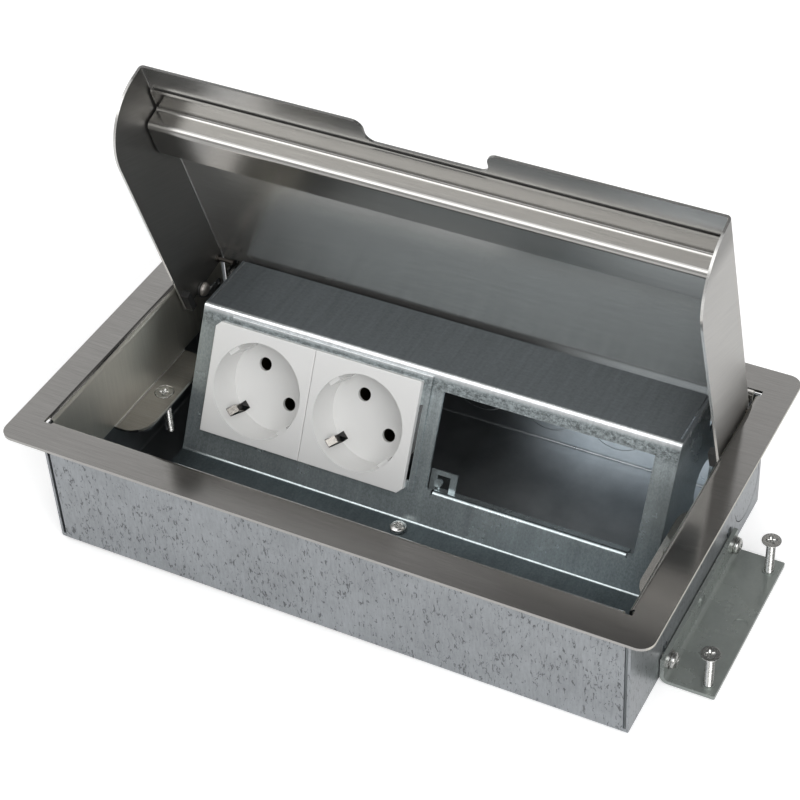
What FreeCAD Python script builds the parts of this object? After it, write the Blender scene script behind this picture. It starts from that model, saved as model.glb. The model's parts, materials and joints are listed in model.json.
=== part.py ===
import FreeCAD, Part
import math
import os
import Sketcher

# Floor socket box: a galvanized casing let into a floor, a stainless steel frame and hinged lid
# flush with the floor, and a slanted carrier for two sockets and one free module place.
# Millimetres. +X to the right, -Y to the front, +Z up; the origin is the centre of the casing's
# bottom face. The lid stands open; it is drawn closed about its hinge and turned open.

Vector = FreeCAD.Vector
doc = FreeCAD.newDocument("FloorSocketBox")

# ---------------------------------------------------------------- driving dimensions
SIZES = (
    ("casing_length", 240.0),
    ("casing_width", 130.0),
    ("casing_height", 56.1),
    ("rim_drop", 2.2),
    ("casing_sheet", 1.0),
    ("casing_bend", 2.0),
    ("corner_slit", 1.2),
    ("knockout_radius", 12.3),
    ("knockout_cut", 0.35),
    ("knockout_height", 19.3),
    ("knockout_pitch", 30.0),
    ("knockout_count", 5),
    ("knockout_bridge", 24.0),
    ("side_knockout_setback", 14.5),
    ("flange_overhang", 11.0),
    ("flange_corner", 5.5),
    ("frame_sheet", 1.2),
    ("frame_side_gap", 0.8),
    ("frame_end_gap", 2.05),
    ("frame_bend", 1.0),
    ("frame_side_depth", 32.0),
    ("frame_end_depth", 20.0),
    ("frame_slit", 0.7),
    ("end_wall_gap", 1.2),
    ("relief_reach", 1.0),
    ("tab_reach", 13.0),
    ("tab_width", 52.0),
    ("tab_corner", 9.5),
    ("tab_screw_inset", 7.0),
    ("screw_radius", 2.0),
    ("screw_clearance", 0.25),
    ("thread_clearance", 0.04),
    ("sunk_head_radius", 3.75),
    ("sunk_screw_length", 20.0),
    ("pan_head_radius", 3.3),
    ("pan_head_height", 2.6),
    ("washer_radius", 3.7),
    ("washer_sheet", 0.9),
    ("nut_radius", 3.6),
    ("nut_height", 3.2),
    ("standoff_radius", 3.0),
    ("standoff_flange_radius", 4.2),
    ("standoff_flange", 0.7),
    ("standoff_depth", 3.4),
    ("casing_lug_reach", 14.0),
    ("casing_lug_width", 42.0),
    ("casing_lug_corner", 3.0),
    ("seat_gap", 0.3),
    ("lid_sheet", 1.0),
    ("lid_side_gap", 1.2),
    ("lid_front_gap", 0.95),
    ("lid_tail", 3.3),
    ("lid_bend", 0.8),
    ("cheek_depth", 31.3),
    ("cheek_corner", 24.0),
    ("open_angle", 72.4),
    ("hinge_drop", 4.3),
    ("hinge_setback", 5.95),
    ("pin_radius", 0.95),
    ("pin_play", 0.05),
    ("pin_inner_reach", 7.8),
    ("collar_radius", 1.6),
    ("collar_width", 1.0),
    ("outlet_width", 49.0),
    ("outlet_depth", 10.0),
    ("outlet_shift", 1.0),
    ("outlet_corner", 4.0),
    ("brace_sheet", 1.0),
    ("brace_setback", 11.5),
    ("brace_flange", 9.7),
    ("brace_top", 15.8),
    ("brace_height", 10.3),
    ("brace_fall", 33.0),
    ("brace_bend", 2.4),
    ("brace_lift", 0.6),
    ("brace_inner_bend", 1.4),
    ("brace_end_gap", 0.1),
    ("stay_back", 1.4),
    ("stay_drop", 14.9),
    ("stay_radius", 1.95),
    ("stay_play", 0.3),
    ("stay_head_radius", 3.0),
    ("stay_head_height", 2.4),
    ("stay_head_chamfer", 1.2),
    ("stay_washer_radius", 3.4),
    ("stay_washer_sheet", 0.9),
    ("buffer_length", 9.0),
    ("buffer_height", 3.0),
    ("buffer_width", 3.25),
    ("buffer_setback", 0.4),
    ("carrier_sheet", 1.2),
    ("carrier_angle", 61.92),
    ("carrier_left_gap", 0.9),
    ("carrier_right_gap", 2.4),
    ("carrier_top_gap", 1.93),
    ("carrier_run", 57.6),
    ("carrier_rear_play", 1.2),
    ("carrier_back_gap", 1.1),
    ("carrier_step_gap", 1.5),
    ("carrier_bend", 1.3),
    ("carrier_slit", 0.5),
    ("foot_reach", 12.0),
    ("foot_screw_forward", 5.6),
    ("foot_screw_shift", -1.1),
    ("cable_hole_radius", 9.7),
    ("cable_hole_back", 11.2),
    ("cable_hole_height", 14.3),
    ("module_size", 45.3),
    ("module_pitch", 45.5),
    ("module_proud", 2.5),
    ("module_corner", 0.4),
    ("module_chamfer", 2.2),
    ("module_upper_rim", 1.0),
    ("module_outer_rim", 1.0),
    ("module_left_margin", 7.6),
    ("module_top_margin", 28.6),
    ("module_opening_margin", 0.9),
    ("cutout_height", 39.7),
    ("cutout_top_margin", 6.9),
    ("cutout_left_margin", 9.9),
    ("cutout_right_margin", 9.1),
    ("cutout_corner", 0.4),
    ("cutout_lip", 6.0),
    ("cutout_lip_inset", 3.0),
    ("cutout_lip_bend", 1.6),
    ("cutout_relief", 0.8),
    ("lug_width", 11.2),
    ("lug_leg", 2.8),
    ("lug_rise", 7.3),
    ("lug_depth", 4.6),
    ("lug_sheet", 0.9),
    ("lug_stud_radius", 1.65),
    ("lug_stud_rise", 2.2),
    ("lug_stud_shift", 2.9),
    ("lug_bar", 1.9),
    ("lug_start", 0.8),
    ("rim_height", 0.8),
    ("rim_width", 2.4),
    ("rim_top_gap", 0.6),
    ("rim_side_gap", 1.5),
    ("rim_start", 6.0),
    ("rim_slot_low", 17.0),
    ("rim_slot_high", 14.0),
    ("recess_rim", 3.05),
    ("recess_depth", 17.5),
    ("recess_wall", 1.2),
    ("recess_floor", 1.5),
    ("guide_width", 5.0),
    ("guide_reach", 1.6),
    ("guide_drop", 1.5),
    ("pin_spacing", 19.0),
    ("pin_hole_radius", 2.8),
    ("sleeve_wall", 0.7),
    ("sleeve_length", 11.0),
    ("terminal_length", 36.0),
    ("terminal_width", 27.0),
    ("terminal_depth", 12.5),
    ("clip_width", 3.0),
    ("clip_sheet", 0.6),
    ("clip_top", 5.5),
    ("clip_crest", 8.0),
    ("clip_floor_reach", 3.0),
    ("clip_bulge", 3.5),
    ("clip_slot_play", 0.35),
    ("bracket_sheet", 1.6),
    ("bracket_length", 74.0),
    ("bracket_reach", 21.2),
    ("bracket_height", 11.8),
    ("bracket_bend", 1.6),
    ("bracket_corner", 0.6),
    ("bracket_hole_radius", 2.1),
    ("hole_collar_wall", 0.7),
    ("hole_collar_height", 0.5),
    ("boss_radius", 2.9),
    ("boss_shift", 4.1),
    ("boss_depth", 0.3),
    ("bracket_hole_height", 8.0),
    ("bracket_screw_offset", 32.0),
    ("bracket_screw_height", 8.0),
    ("bracket_screw_length", 6.4),
    ("slot_width", 4.5),
    ("slot_bottom", 4.0),
    ("slot_top", 16.0),
    ("level_screw_inset", 4.2),
    ("level_screw_length", 17.8),
    ("level_screw_radius", 1.8),
    ("level_screw_offset", 31.3),
    ("level_screw_shift", -0.7),
)

sheet = doc.addObject("Spreadsheet::Sheet", "Sizes")
for row, (name, value) in enumerate(SIZES, 1):
    sheet.set("A%d" % row, name)
    sheet.set("B%d" % row, str(value))
    sheet.setAlias("B%d" % row, name)

# ---------------------------------------------------------------- sizes that follow from them
FITS = (
    ("half_casing_length", "Sizes.casing_length / 2"),
    ("half_casing_width", "Sizes.casing_width / 2"),
    ("half_opening_length",
     "half_casing_length - Sizes.casing_sheet - Sizes.frame_side_gap - Sizes.frame_sheet"),
    ("half_opening_width",
     "half_casing_width - Sizes.casing_sheet - Sizes.frame_end_gap - Sizes.frame_sheet"),
    ("flange_under", "Sizes.casing_height + Sizes.rim_drop"),
    ("frame_top", "flange_under + Sizes.frame_sheet"),
    ("tab_top", "frame_top - Sizes.frame_side_depth"),
    ("tab_screw_place", "half_opening_length - Sizes.tab_screw_inset"),
    ("hinge_y", "half_opening_width - Sizes.hinge_setback"),
    ("hinge_z", "frame_top - Sizes.hinge_drop"),
    ("half_lid_length", "half_opening_length - Sizes.lid_side_gap"),
    ("cheek_inside", "half_lid_length - Sizes.lid_sheet"),
    ("pin_end", "half_casing_length - Sizes.casing_sheet - 2 * Sizes.seat_gap"),
    ("lid_reach", "half_opening_width + hinge_y - Sizes.lid_front_gap"),
    ("panel_inside", "Sizes.hinge_drop - Sizes.lid_sheet"),
    ("cheek_bottom", "Sizes.hinge_drop - Sizes.cheek_depth"),
    ("stay_reach", "sqrt(Sizes.stay_back ^ 2 + Sizes.stay_drop ^ 2)"),
    ("stay_angle", "atan(Sizes.stay_back / Sizes.stay_drop) / 1deg"),
    ("fold_y", "hinge_y - Sizes.carrier_run"),
    ("carrier_left", "-half_opening_length + Sizes.tab_reach + Sizes.carrier_left_gap"),
    ("carrier_right", "half_opening_length - Sizes.tab_reach - Sizes.carrier_right_gap"),
    ("carrier_length", "carrier_right - carrier_left"),
    ("carrier_centre", "(carrier_left + carrier_right) / 2"),
    ("carrier_top", "frame_top - Sizes.lid_sheet - Sizes.carrier_top_gap - Sizes.casing_sheet"),
    ("incline_length", "(carrier_top - Sizes.carrier_sheet) / sin(Sizes.carrier_angle * 1deg)"),
    ("incline_run", "(carrier_top - Sizes.carrier_sheet) / tan(Sizes.carrier_angle * 1deg)"),
    ("carrier_top_rear", "Sizes.carrier_run + Sizes.carrier_rear_play"),
    ("carrier_rear", "half_casing_width - Sizes.casing_sheet - Sizes.carrier_back_gap - fold_y"),
    ("carrier_step",
     "frame_top - Sizes.frame_end_depth - Sizes.carrier_step_gap - Sizes.casing_sheet"),
    ("module_first", "carrier_left + Sizes.module_left_margin + Sizes.module_size / 2"),
    ("module_up", "incline_length - Sizes.module_top_margin"),
    ("modules_right", "module_first + Sizes.module_pitch + Sizes.module_size / 2"),
    ("cutout_left", "modules_right + Sizes.cutout_left_margin"),
    ("cutout_right", "carrier_right - Sizes.cutout_right_margin"),
    ("cutout_upper", "incline_length - Sizes.cutout_top_margin"),
    ("cutout_lower", "cutout_upper - Sizes.cutout_height"),
    ("recess_radius", "Sizes.module_size / 2 - Sizes.recess_rim"),
    ("recess_back", "Sizes.recess_depth - Sizes.module_proud + Sizes.recess_floor"),
    ("pin_offset", "Sizes.pin_spacing / 2 / sqrt(2)"),
    ("bracket_face", "half_casing_length + Sizes.seat_gap"),
    ("bracket_edge", "bracket_face + Sizes.bracket_reach"),
    ("level_screw_place", "bracket_edge - Sizes.level_screw_inset"),
    ("casing_lug_top", "tab_top - Sizes.frame_sheet - Sizes.seat_gap - Sizes.standoff_flange"),
    ("insert_top", "Sizes.module_size / 2 + Sizes.module_upper_rim"),
    ("inserts_edge", "modules_right + Sizes.module_outer_rim"),
)

fits = doc.addObject("App::VarSet", "Fits")
for name, rule in FITS:
    fits.addProperty("App::PropertyFloat", name)
    fits.setExpression(name, rule)
doc.recompute()


def size(rule):
    """The value of a size, or of an expression over sizes."""
    return float(fits.evalExpression(str(rule)))


# ---------------------------------------------------------------- drawing helpers
def origin_plane(body, role):
    """One of the body's own origin planes, by its role."""
    return next(item for item in body.Origin.OriginFeatures if item.Role == role)


def new_body(label):
    """A sub-part's body, whose label names its file."""
    body = doc.addObject("PartDesign::Body", label)
    body.Label = label
    return body


def place(item, x="0", y="0", z="0", turn=None):
    """Bind a piece's place, and its turn about X where it has one."""
    if turn is not None:
        item.Placement = FreeCAD.Placement(Vector(), FreeCAD.Rotation(Vector(1, 0, 0), 1))
        item.setExpression("Placement.Rotation.Angle", turn)
    for axis, rule in zip("xyz", (x, y, z)):
        item.setExpression("Placement.Base." + axis, rule)


def new_sketch(body, role, name, shift=("0", "0", "0"), tilt=None):
    """A sketch on one of the body's origin planes, moved and tilted within that plane's axes."""
    sketch = body.newObject("Sketcher::SketchObject", name)
    sketch.AttachmentSupport = (origin_plane(body, role), "")
    sketch.MapMode = "FlatFace"
    if tilt is not None:
        axis, rule = tilt
        sketch.AttachmentOffset = FreeCAD.Placement(Vector(), FreeCAD.Rotation(axis, 1))
        sketch.setExpression("AttachmentOffset.Rotation.Angle", rule)
    for axis, rule in zip("xyz", shift):
        sketch.setExpression("AttachmentOffset.Base." + axis, rule)
    return sketch


def pin_point(sketch, geometry, point, x, y):
    """Hold one point of the sketch at the place that two expressions give."""
    for kind, rule in (("DistanceX", x), ("DistanceY", y)):
        index = sketch.addConstraint(
            Sketcher.Constraint(kind, -1, 1, geometry, point, size(rule)))
        sketch.setExpression("Constraints[%d]" % index, str(rule))


def polygon(sketch, points):
    """A closed outline of straight lines with every corner held by the sizes."""
    corners = [Vector(size(x), size(y), 0) for x, y in points]
    first = sketch.GeometryCount
    count = len(points)
    for index in range(count):
        sketch.addGeometry(Part.LineSegment(corners[index], corners[(index + 1) % count]))
    for index in range(count):
        following = first + (index + 1) % count
        sketch.addConstraint(Sketcher.Constraint("Coincident", first + index, 2, following, 1))
    for index, (x, y) in enumerate(points):
        pin_point(sketch, first + index, 1, x, y)
    return sketch


def rectangle(sketch, left, right, low, high):
    """A rectangle between four expressions."""
    return polygon(sketch, ((left, low), (right, low), (right, high), (left, high)))


def circle(sketch, x, y, radius):
    """A circle whose centre and radius are held by the sizes."""
    geometry = sketch.addGeometry(
        Part.Circle(Vector(size(x), size(y), 0), Vector(0, 0, 1), size(radius)))
    pin_point(sketch, geometry, 3, x, y)
    index = sketch.addConstraint(Sketcher.Constraint("Radius", geometry, size(radius)))
    sketch.setExpression("Constraints[%d]" % index, str(radius))
    return sketch


def obround(sketch, x, low, high, radius):
    """An upright slot with round ends between two heights."""
    centres = ("(%s) + (%s)" % (low, radius), "(%s) - (%s)" % (high, radius))
    r = size(radius)
    ends = []
    for centre, start in zip(centres, (math.pi, 0.0)):
        arc = Part.ArcOfCircle(
            Part.Circle(Vector(size(x), size(centre), 0), Vector(0, 0, 1), r),
            start, start + math.pi)
        ends.append(sketch.addGeometry(arc))
    bottom, top = ends
    sides = []
    for sign in (1, -1):
        line = Part.LineSegment(
            Vector(size(x) + sign * r, size(centres[0]), 0),
            Vector(size(x) + sign * r, size(centres[1]), 0))
        sides.append(sketch.addGeometry(line))
    right, left = sides
    for arc, arc_end, line, line_end in (
            (bottom, 2, right, 1), (top, 1, right, 2), (top, 2, left, 2), (bottom, 1, left, 1)):
        sketch.addConstraint(Sketcher.Constraint("Tangent", arc, arc_end, line, line_end))
    for arc, centre in zip(ends, centres):
        pin_point(sketch, arc, 3, x, centre)
        index = sketch.addConstraint(Sketcher.Constraint("Radius", arc, r))
        sketch.setExpression("Constraints[%d]" % index, str(radius))
    return sketch


def feature(body, kind, name, sketch, length, both_ways=False, backwards=False):
    """A pad or pocket of a sketch, with its length bound to the sizes."""
    item = body.newObject("PartDesign::" + kind, name)
    item.Profile = sketch
    item.setExpression("Length", length)
    if both_ways:
        item.SideType = "Symmetric"
    item.Reversed = backwards
    sketch.Visibility = False
    doc.recompute()
    return item


def pad(body, name, sketch, length, both_ways=False, backwards=False):
    """Add the sketch's outline, drawn out along its normal."""
    return feature(body, "Pad", name, sketch, length, both_ways, backwards)


def pocket(body, name, sketch, length, both_ways=False, backwards=False):
    """Cut the sketch's outline, and see that it took something away."""
    before = body.Shape.Volume
    item = feature(body, "Pocket", name, sketch, length, both_ways, backwards)
    if item.Shape.Volume > before - 1e-6:
        raise RuntimeError("%s cut nothing" % name)
    return item


def turn_cut(body, name, sketch, axis, angle):
    """Cut the sketch's outline while it turns both ways about one of the sketch's axes."""
    before = body.Shape.Volume
    item = body.newObject("PartDesign::Groove", name)
    item.Profile = sketch
    item.ReferenceAxis = (sketch, [axis])
    item.setExpression("Angle", angle)
    item.Midplane = True
    doc.recompute()
    if item.Shape.Volume > before - 1e-6:
        raise RuntimeError("%s cut nothing" % name)
    return item


def round_edges(body, name, radius, chosen):
    """Round the edges of the body's last form for which chosen(edge's middle, its box) holds."""
    base = body.Tip
    picked = []
    for index, edge in enumerate(base.Shape.Edges, 1):
        first, last = edge.ParameterRange
        if chosen(edge.valueAt((first + last) / 2), edge.BoundBox):
            picked.append("Edge%d" % index)
    if not picked:
        raise RuntimeError("%s found no edge" % name)
    item = body.newObject("PartDesign::Fillet", name)
    item.Base = (base, picked)
    item.setExpression("Radius", radius)
    doc.recompute()
    return item


def near(value, rule, slack=0.02):
    """Whether a coordinate lies at the place that the sizes give."""
    return abs(value - size(rule)) < slack


def turned(label, points):
    """A turned piece: the half outline (radius, height) revolved about its own Z axis."""
    body = new_body(label)
    sketch = polygon(new_sketch(body, "XZ_Plane", label + "_outline"), points)
    item = body.newObject("PartDesign::Revolution", label + "_turning")
    item.Profile = sketch
    item.ReferenceAxis = (sketch, ["V_Axis"])
    item.Angle = 360.0
    sketch.Visibility = False
    doc.recompute()
    return body


def group(label, pieces):
    """Identical pieces that share one file, each still a solid of its own."""
    item = doc.addObject("Part::Compound", label)
    item.Label = label
    item.Links = pieces
    doc.recompute()
    return item


def aim(body, axis, degrees):
    """Point a turned piece's own Z axis another way."""
    body.Placement = FreeCAD.Placement(Vector(), FreeCAD.Rotation(axis, degrees))
    return body


# ---------------------------------------------------------------- casing
def make_casing():
    """Open galvanized tray: bent-up walls, corner slits, knockouts and the brackets' slots."""
    body = new_body("casing")
    block = rectangle(new_sketch(body, "XY_Plane", "casing_block"),
                      "-Fits.half_casing_length", "Fits.half_casing_length",
                      "-Fits.half_casing_width", "Fits.half_casing_width")
    pad(body, "casing_body", block, "Sizes.casing_height")
    round_edges(body, "casing_bends", "Sizes.casing_bend",
                lambda middle, box: near(box.ZMax, 0))
    inner_x = "(Fits.half_casing_length - Sizes.casing_sheet)"
    inner_y = "(Fits.half_casing_width - Sizes.casing_sheet)"
    inside = rectangle(new_sketch(body, "XY_Plane", "casing_inside", ("0", "0", "Sizes.casing_sheet")),
                       "-" + inner_x, inner_x, "-" + inner_y, inner_y)
    pocket(body, "casing_hollow", inside, "2 * Sizes.casing_height", backwards=True)
    round_edges(body, "casing_bends_inside", "Sizes.casing_bend - Sizes.casing_sheet",
                lambda middle, box: near(box.ZMax, "Sizes.casing_sheet") and (
                    near(abs(middle.x), inner_x) or near(abs(middle.y), inner_y)))

    slits = new_sketch(body, "XZ_Plane", "casing_slits")
    for sign in ("-", ""):
        inner = sign + "(Fits.half_casing_length - Sizes.casing_sheet - Sizes.corner_slit)"
        outer = sign + "(Fits.half_casing_length - Sizes.casing_sheet)"
        rectangle(slits, inner, outer, "Sizes.casing_bend + Sizes.casing_sheet",
                  "Sizes.casing_height + 1")
    pocket(body, "casing_corner_slits", slits, "2 * Sizes.casing_width", both_ways=True)

    slots = new_sketch(body, "YZ_Plane", "casing_slots")
    for sign in ("-", ""):
        obround(slots, sign + "Sizes.bracket_screw_offset", "Sizes.slot_bottom", "Sizes.slot_top",
                "Sizes.slot_width / 2")
    pocket(body, "casing_bracket_slots", slots, "2 * Sizes.casing_length", both_ways=True)

    lug_end = "(Fits.half_casing_length - Sizes.casing_sheet - Sizes.casing_lug_reach)"
    lugs = new_sketch(body, "XY_Plane", "casing_lugs", ("0", "0", "Fits.casing_lug_top"))
    for sign in ("-", ""):
        rectangle(lugs, sign + lug_end, sign + "(Fits.half_casing_length - Sizes.casing_sheet / 2)",
                  "-Sizes.casing_lug_width / 2", "Sizes.casing_lug_width / 2")
    pad(body, "casing_lug_plates", lugs, "Sizes.casing_sheet", backwards=True)
    round_edges(body, "casing_lug_corners", "Sizes.casing_lug_corner",
                lambda middle, box: near(abs(middle.x), lug_end)
                and near(abs(middle.y), "Sizes.casing_lug_width / 2"))
    lug_holes = new_sketch(body, "XY_Plane", "casing_lug_holes", ("0", "0", "Fits.casing_lug_top"))
    for sign in ("-", ""):
        circle(lug_holes, sign + "Fits.tab_screw_place", "0",
               "Sizes.standoff_radius + Sizes.thread_clearance")
    pocket(body, "casing_lug_hole_cuts", lug_holes, "2 * Sizes.casing_sheet", both_ways=True)

    floor_holes = new_sketch(body, "XY_Plane", "casing_floor_hole")
    circle(floor_holes, "Sizes.foot_screw_shift", "Fits.fold_y - Sizes.foot_screw_forward",
           "Sizes.screw_radius + Sizes.thread_clearance")
    pocket(body, "casing_floor_hole_cut", floor_holes, "4 * Sizes.casing_sheet", both_ways=True)

    ring = ("Sizes.knockout_radius - Sizes.knockout_cut / 2",
            "Sizes.knockout_radius + Sizes.knockout_cut / 2")
    side = new_sketch(body, "XY_Plane", "side_knockout",
                      ("0", "Fits.half_casing_width - Sizes.side_knockout_setback",
                       "Sizes.knockout_height"))
    rectangle(side, "-Fits.half_casing_length - 1", "Fits.half_casing_length + 1", ring[0], ring[1])
    turn_cut(body, "side_knockout_cuts", side, "H_Axis", "360 - Sizes.knockout_bridge")

    back = new_sketch(body, "XY_Plane", "back_knockout",
                      ("-Sizes.knockout_pitch * (Sizes.knockout_count - 1) / 2", "0",
                       "Sizes.knockout_height"))
    rectangle(back, ring[0], ring[1], "Fits.half_casing_width - 2 * Sizes.casing_sheet",
              "Fits.half_casing_width + 1")
    first = turn_cut(body, "back_knockout_cut", back, "V_Axis", "360 - Sizes.knockout_bridge")
    row_of = body.newObject("PartDesign::LinearPattern", "back_knockouts")
    row_of.Originals = [first]
    row_of.Direction = (origin_plane(body, "X_Axis"), [""])
    row_of.setExpression("Length", "Sizes.knockout_pitch * (Sizes.knockout_count - 1)")
    row_of.setExpression("Occurrences", "Sizes.knockout_count")
    body.Tip = row_of
    doc.recompute()
    return body


# ---------------------------------------------------------------- frame
def make_frame():
    """Stainless flange with walls bent down, slit corners and two inward screw tabs."""
    body = new_body("frame")
    place(body, z="Fits.flange_under")
    wall_x = "(Fits.half_opening_length + Sizes.frame_sheet)"
    wall_y = "(Fits.half_opening_width + Sizes.frame_sheet)"
    flange_x = "(Fits.half_casing_length + Sizes.flange_overhang)"
    flange_y = "(Fits.half_casing_width + Sizes.flange_overhang)"

    plate = rectangle(new_sketch(body, "XY_Plane", "flange_outline"),
                      "-" + flange_x, flange_x, "-" + flange_y, flange_y)
    pad(body, "flange_plate", plate, "Sizes.frame_sheet")
    round_edges(body, "flange_corners", "Sizes.flange_corner",
                lambda middle, box: near(abs(middle.x), flange_x) and near(abs(middle.y), flange_y))
    ring = rectangle(new_sketch(body, "XY_Plane", "wall_outline"),
                     "-" + wall_x, wall_x, "-" + wall_y, wall_y)
    pad(body, "wall_block", ring, "Sizes.frame_side_depth - Sizes.frame_sheet", backwards=True)
    tabs = rectangle(new_sketch(body, "XY_Plane", "tab_outline",
                                ("0", "0", "Sizes.frame_sheet - Sizes.frame_side_depth")),
                     "-" + wall_x, wall_x, "-Sizes.tab_width / 2", "Sizes.tab_width / 2")
    pad(body, "tab_block", tabs, "Sizes.frame_sheet", backwards=True)
    opening = rectangle(new_sketch(body, "XY_Plane", "opening_outline"),
                        "-Fits.half_opening_length", "Fits.half_opening_length",
                        "-Fits.half_opening_width", "Fits.half_opening_width")
    pocket(body, "opening_cut", opening, "Sizes.frame_side_depth - Sizes.frame_sheet")
    above = rectangle(new_sketch(body, "XY_Plane", "opening_top"),
                      "-Fits.half_opening_length", "Fits.half_opening_length",
                      "-Fits.half_opening_width", "Fits.half_opening_width")
    pocket(body, "opening_top_cut", above, "2 * Sizes.frame_sheet", backwards=True)
    tab_inner = "(Fits.half_opening_length - Sizes.tab_reach)"
    between = rectangle(new_sketch(body, "XY_Plane", "between_tabs"),
                        "-" + tab_inner, tab_inner, "-Sizes.tab_width", "Sizes.tab_width")
    pocket(body, "between_tabs_cut", between, "2 * Sizes.frame_side_depth")

    low = "Sizes.frame_sheet - Sizes.frame_side_depth"
    round_edges(body, "tab_ends", "Sizes.tab_corner",
                lambda middle, box: near(abs(middle.x), tab_inner) and box.ZLength > 1)
    round_edges(body, "flange_bend", "Sizes.frame_bend + Sizes.frame_sheet",
                lambda middle, box: near(box.ZMin, "Sizes.frame_sheet")
                and (near(abs(middle.x), "Fits.half_opening_length")
                     or near(abs(middle.y), "Fits.half_opening_width")))
    round_edges(body, "flange_bend_inside", "Sizes.frame_bend",
                lambda middle, box: near(box.ZMin, 0) and near(box.ZMax, 0)
                and (near(abs(middle.x), wall_x) or near(abs(middle.y), wall_y)))
    round_edges(body, "tab_bend", "Sizes.frame_bend + Sizes.frame_sheet",
                lambda middle, box: near(box.ZMax, low + " - Sizes.frame_sheet")
                and near(abs(middle.x), wall_x))
    round_edges(body, "tab_bend_inside", "Sizes.frame_bend",
                lambda middle, box: near(box.ZMax, low)
                and near(box.ZMin, low) and near(abs(middle.x), "Fits.half_opening_length")
                and abs(middle.y) < 1)

    corners = new_sketch(body, "XY_Plane", "corner_reliefs")
    for across in ("-", ""):
        for along in ("-", ""):
            rectangle(corners,
                      across + "(Fits.half_opening_length - Sizes.end_wall_gap)",
                      across + "(%s + Sizes.relief_reach)" % wall_x,
                      along + "(Fits.half_opening_width - Sizes.frame_slit)",
                      along + "(%s + Sizes.frame_bend)" % wall_y)
    pocket(body, "corner_relief_cuts", corners, "4 * Sizes.frame_side_depth", both_ways=True)

    for name, backwards in (("front_wall_edge", False), ("back_wall_edge", True)):
        side = new_sketch(body, "XZ_Plane", name + "_outline",
                          ("0", "0", ("-" if backwards else "")
                           + "(Fits.half_opening_width - Sizes.frame_slit / 2)"))
        rectangle(side, "-(Fits.half_opening_length - Sizes.frame_slit / 2)",
                  "Fits.half_opening_length - Sizes.frame_slit / 2",
                  "Sizes.frame_sheet - 2 * Sizes.frame_side_depth",
                  "Sizes.frame_sheet - Sizes.frame_end_depth")
        pocket(body, name, side, "4 * Sizes.frame_sheet", backwards=not backwards)

    for sign in ("-", ""):
        name = "left_countersink" if sign else "right_countersink"
        sketch = new_sketch(body, "XZ_Plane", name + "_outline",
                            (sign + "Fits.tab_screw_place", low, "0"))
        head = "(Sizes.sunk_head_radius + Sizes.screw_clearance)"
        hole = "(Sizes.screw_radius + Sizes.screw_clearance)"
        polygon(sketch, (("0", "1"), (head, "1"), (head, "0"), (hole, "%s - %s" % (hole, head)),
                         (hole, "-2 * Sizes.frame_sheet"), ("0", "-2 * Sizes.frame_sheet")))
        turn_cut(body, name, sketch, "V_Axis", "360")

    hinge_holes = new_sketch(body, "YZ_Plane", "hinge_holes")
    circle(hinge_holes, "Fits.hinge_y", "Fits.hinge_z - Fits.flange_under",
           "Sizes.pin_radius + Sizes.pin_play")
    pocket(body, "hinge_hole_cuts", hinge_holes, "2 * Sizes.casing_length", both_ways=True)

    stay = new_sketch(body, "XZ_Plane", "stay_slot",
                      ("0", "Fits.hinge_z - Fits.flange_under", "-Fits.hinge_y"),
                      (Vector(1, 0, 0), "Fits.stay_angle - Sizes.open_angle / 2"))
    half_slot = "(Sizes.stay_radius + Sizes.stay_play)"
    rectangle(stay, "-Fits.half_casing_length", "Fits.half_casing_length",
              "-Fits.stay_reach - " + half_slot, "-Fits.stay_reach + " + half_slot)
    turn_cut(body, "stay_slot_cuts", stay, "H_Axis", "Sizes.open_angle")
    slot_ends = new_sketch(body, "YZ_Plane", "stay_slot_ends",
                           ("Fits.hinge_y", "Fits.hinge_z - Fits.flange_under", "0"))
    for angle in ("Fits.stay_angle * 1deg", "(Fits.stay_angle - Sizes.open_angle) * 1deg"):
        circle(slot_ends, "Fits.stay_reach * sin(%s)" % angle, "-Fits.stay_reach * cos(%s)" % angle,
               half_slot)
    pocket(body, "stay_slot_end_cuts", slot_ends, "2 * Sizes.casing_length", both_ways=True)
    return body


def make_frame_fasteners():
    """The two countersunk screws in the tabs and the flanged threaded inserts in the casing's lugs."""
    screws = []
    standoffs = []
    shank = "Sizes.screw_radius"
    head = "Sizes.sunk_head_radius"
    bore = "Sizes.screw_radius + Sizes.thread_clearance"
    flange = "Sizes.standoff_flange_radius"
    barrel = "Sizes.standoff_radius"
    for side, sign in (("left", "-"), ("right", "")):
        screw = turned("tab_screw_" + side, (
            ("0", "0"), (head, "0"), (shank, "%s - %s" % (shank, head)),
            (shank, "-Sizes.sunk_screw_length"), ("0", "-Sizes.sunk_screw_length")))
        place(screw, sign + "Fits.tab_screw_place", "0", "Fits.tab_top")
        screws.append(screw)
        standoff = turned("standoff_" + side, (
            (bore, "-Sizes.standoff_depth"), (barrel, "-Sizes.standoff_depth"), (barrel, "0"),
            (flange, "0"), (flange, "Sizes.standoff_flange"),
            (bore + " + Sizes.standoff_flange", "Sizes.standoff_flange"), (bore, "0")))
        place(standoff, sign + "Fits.tab_screw_place", "0", "Fits.casing_lug_top")
        standoffs.append(standoff)
    return [group("frame_screws", screws), group("frame_standoffs", standoffs)]


# ---------------------------------------------------------------- lid, drawn closed
def seat_on_hinge(item):
    """Turn a piece that is drawn closed about the hinge to where the open lid holds it."""
    place(item, "0", "Fits.hinge_y", "Fits.hinge_z", "-Sizes.open_angle")
    return item


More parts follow.
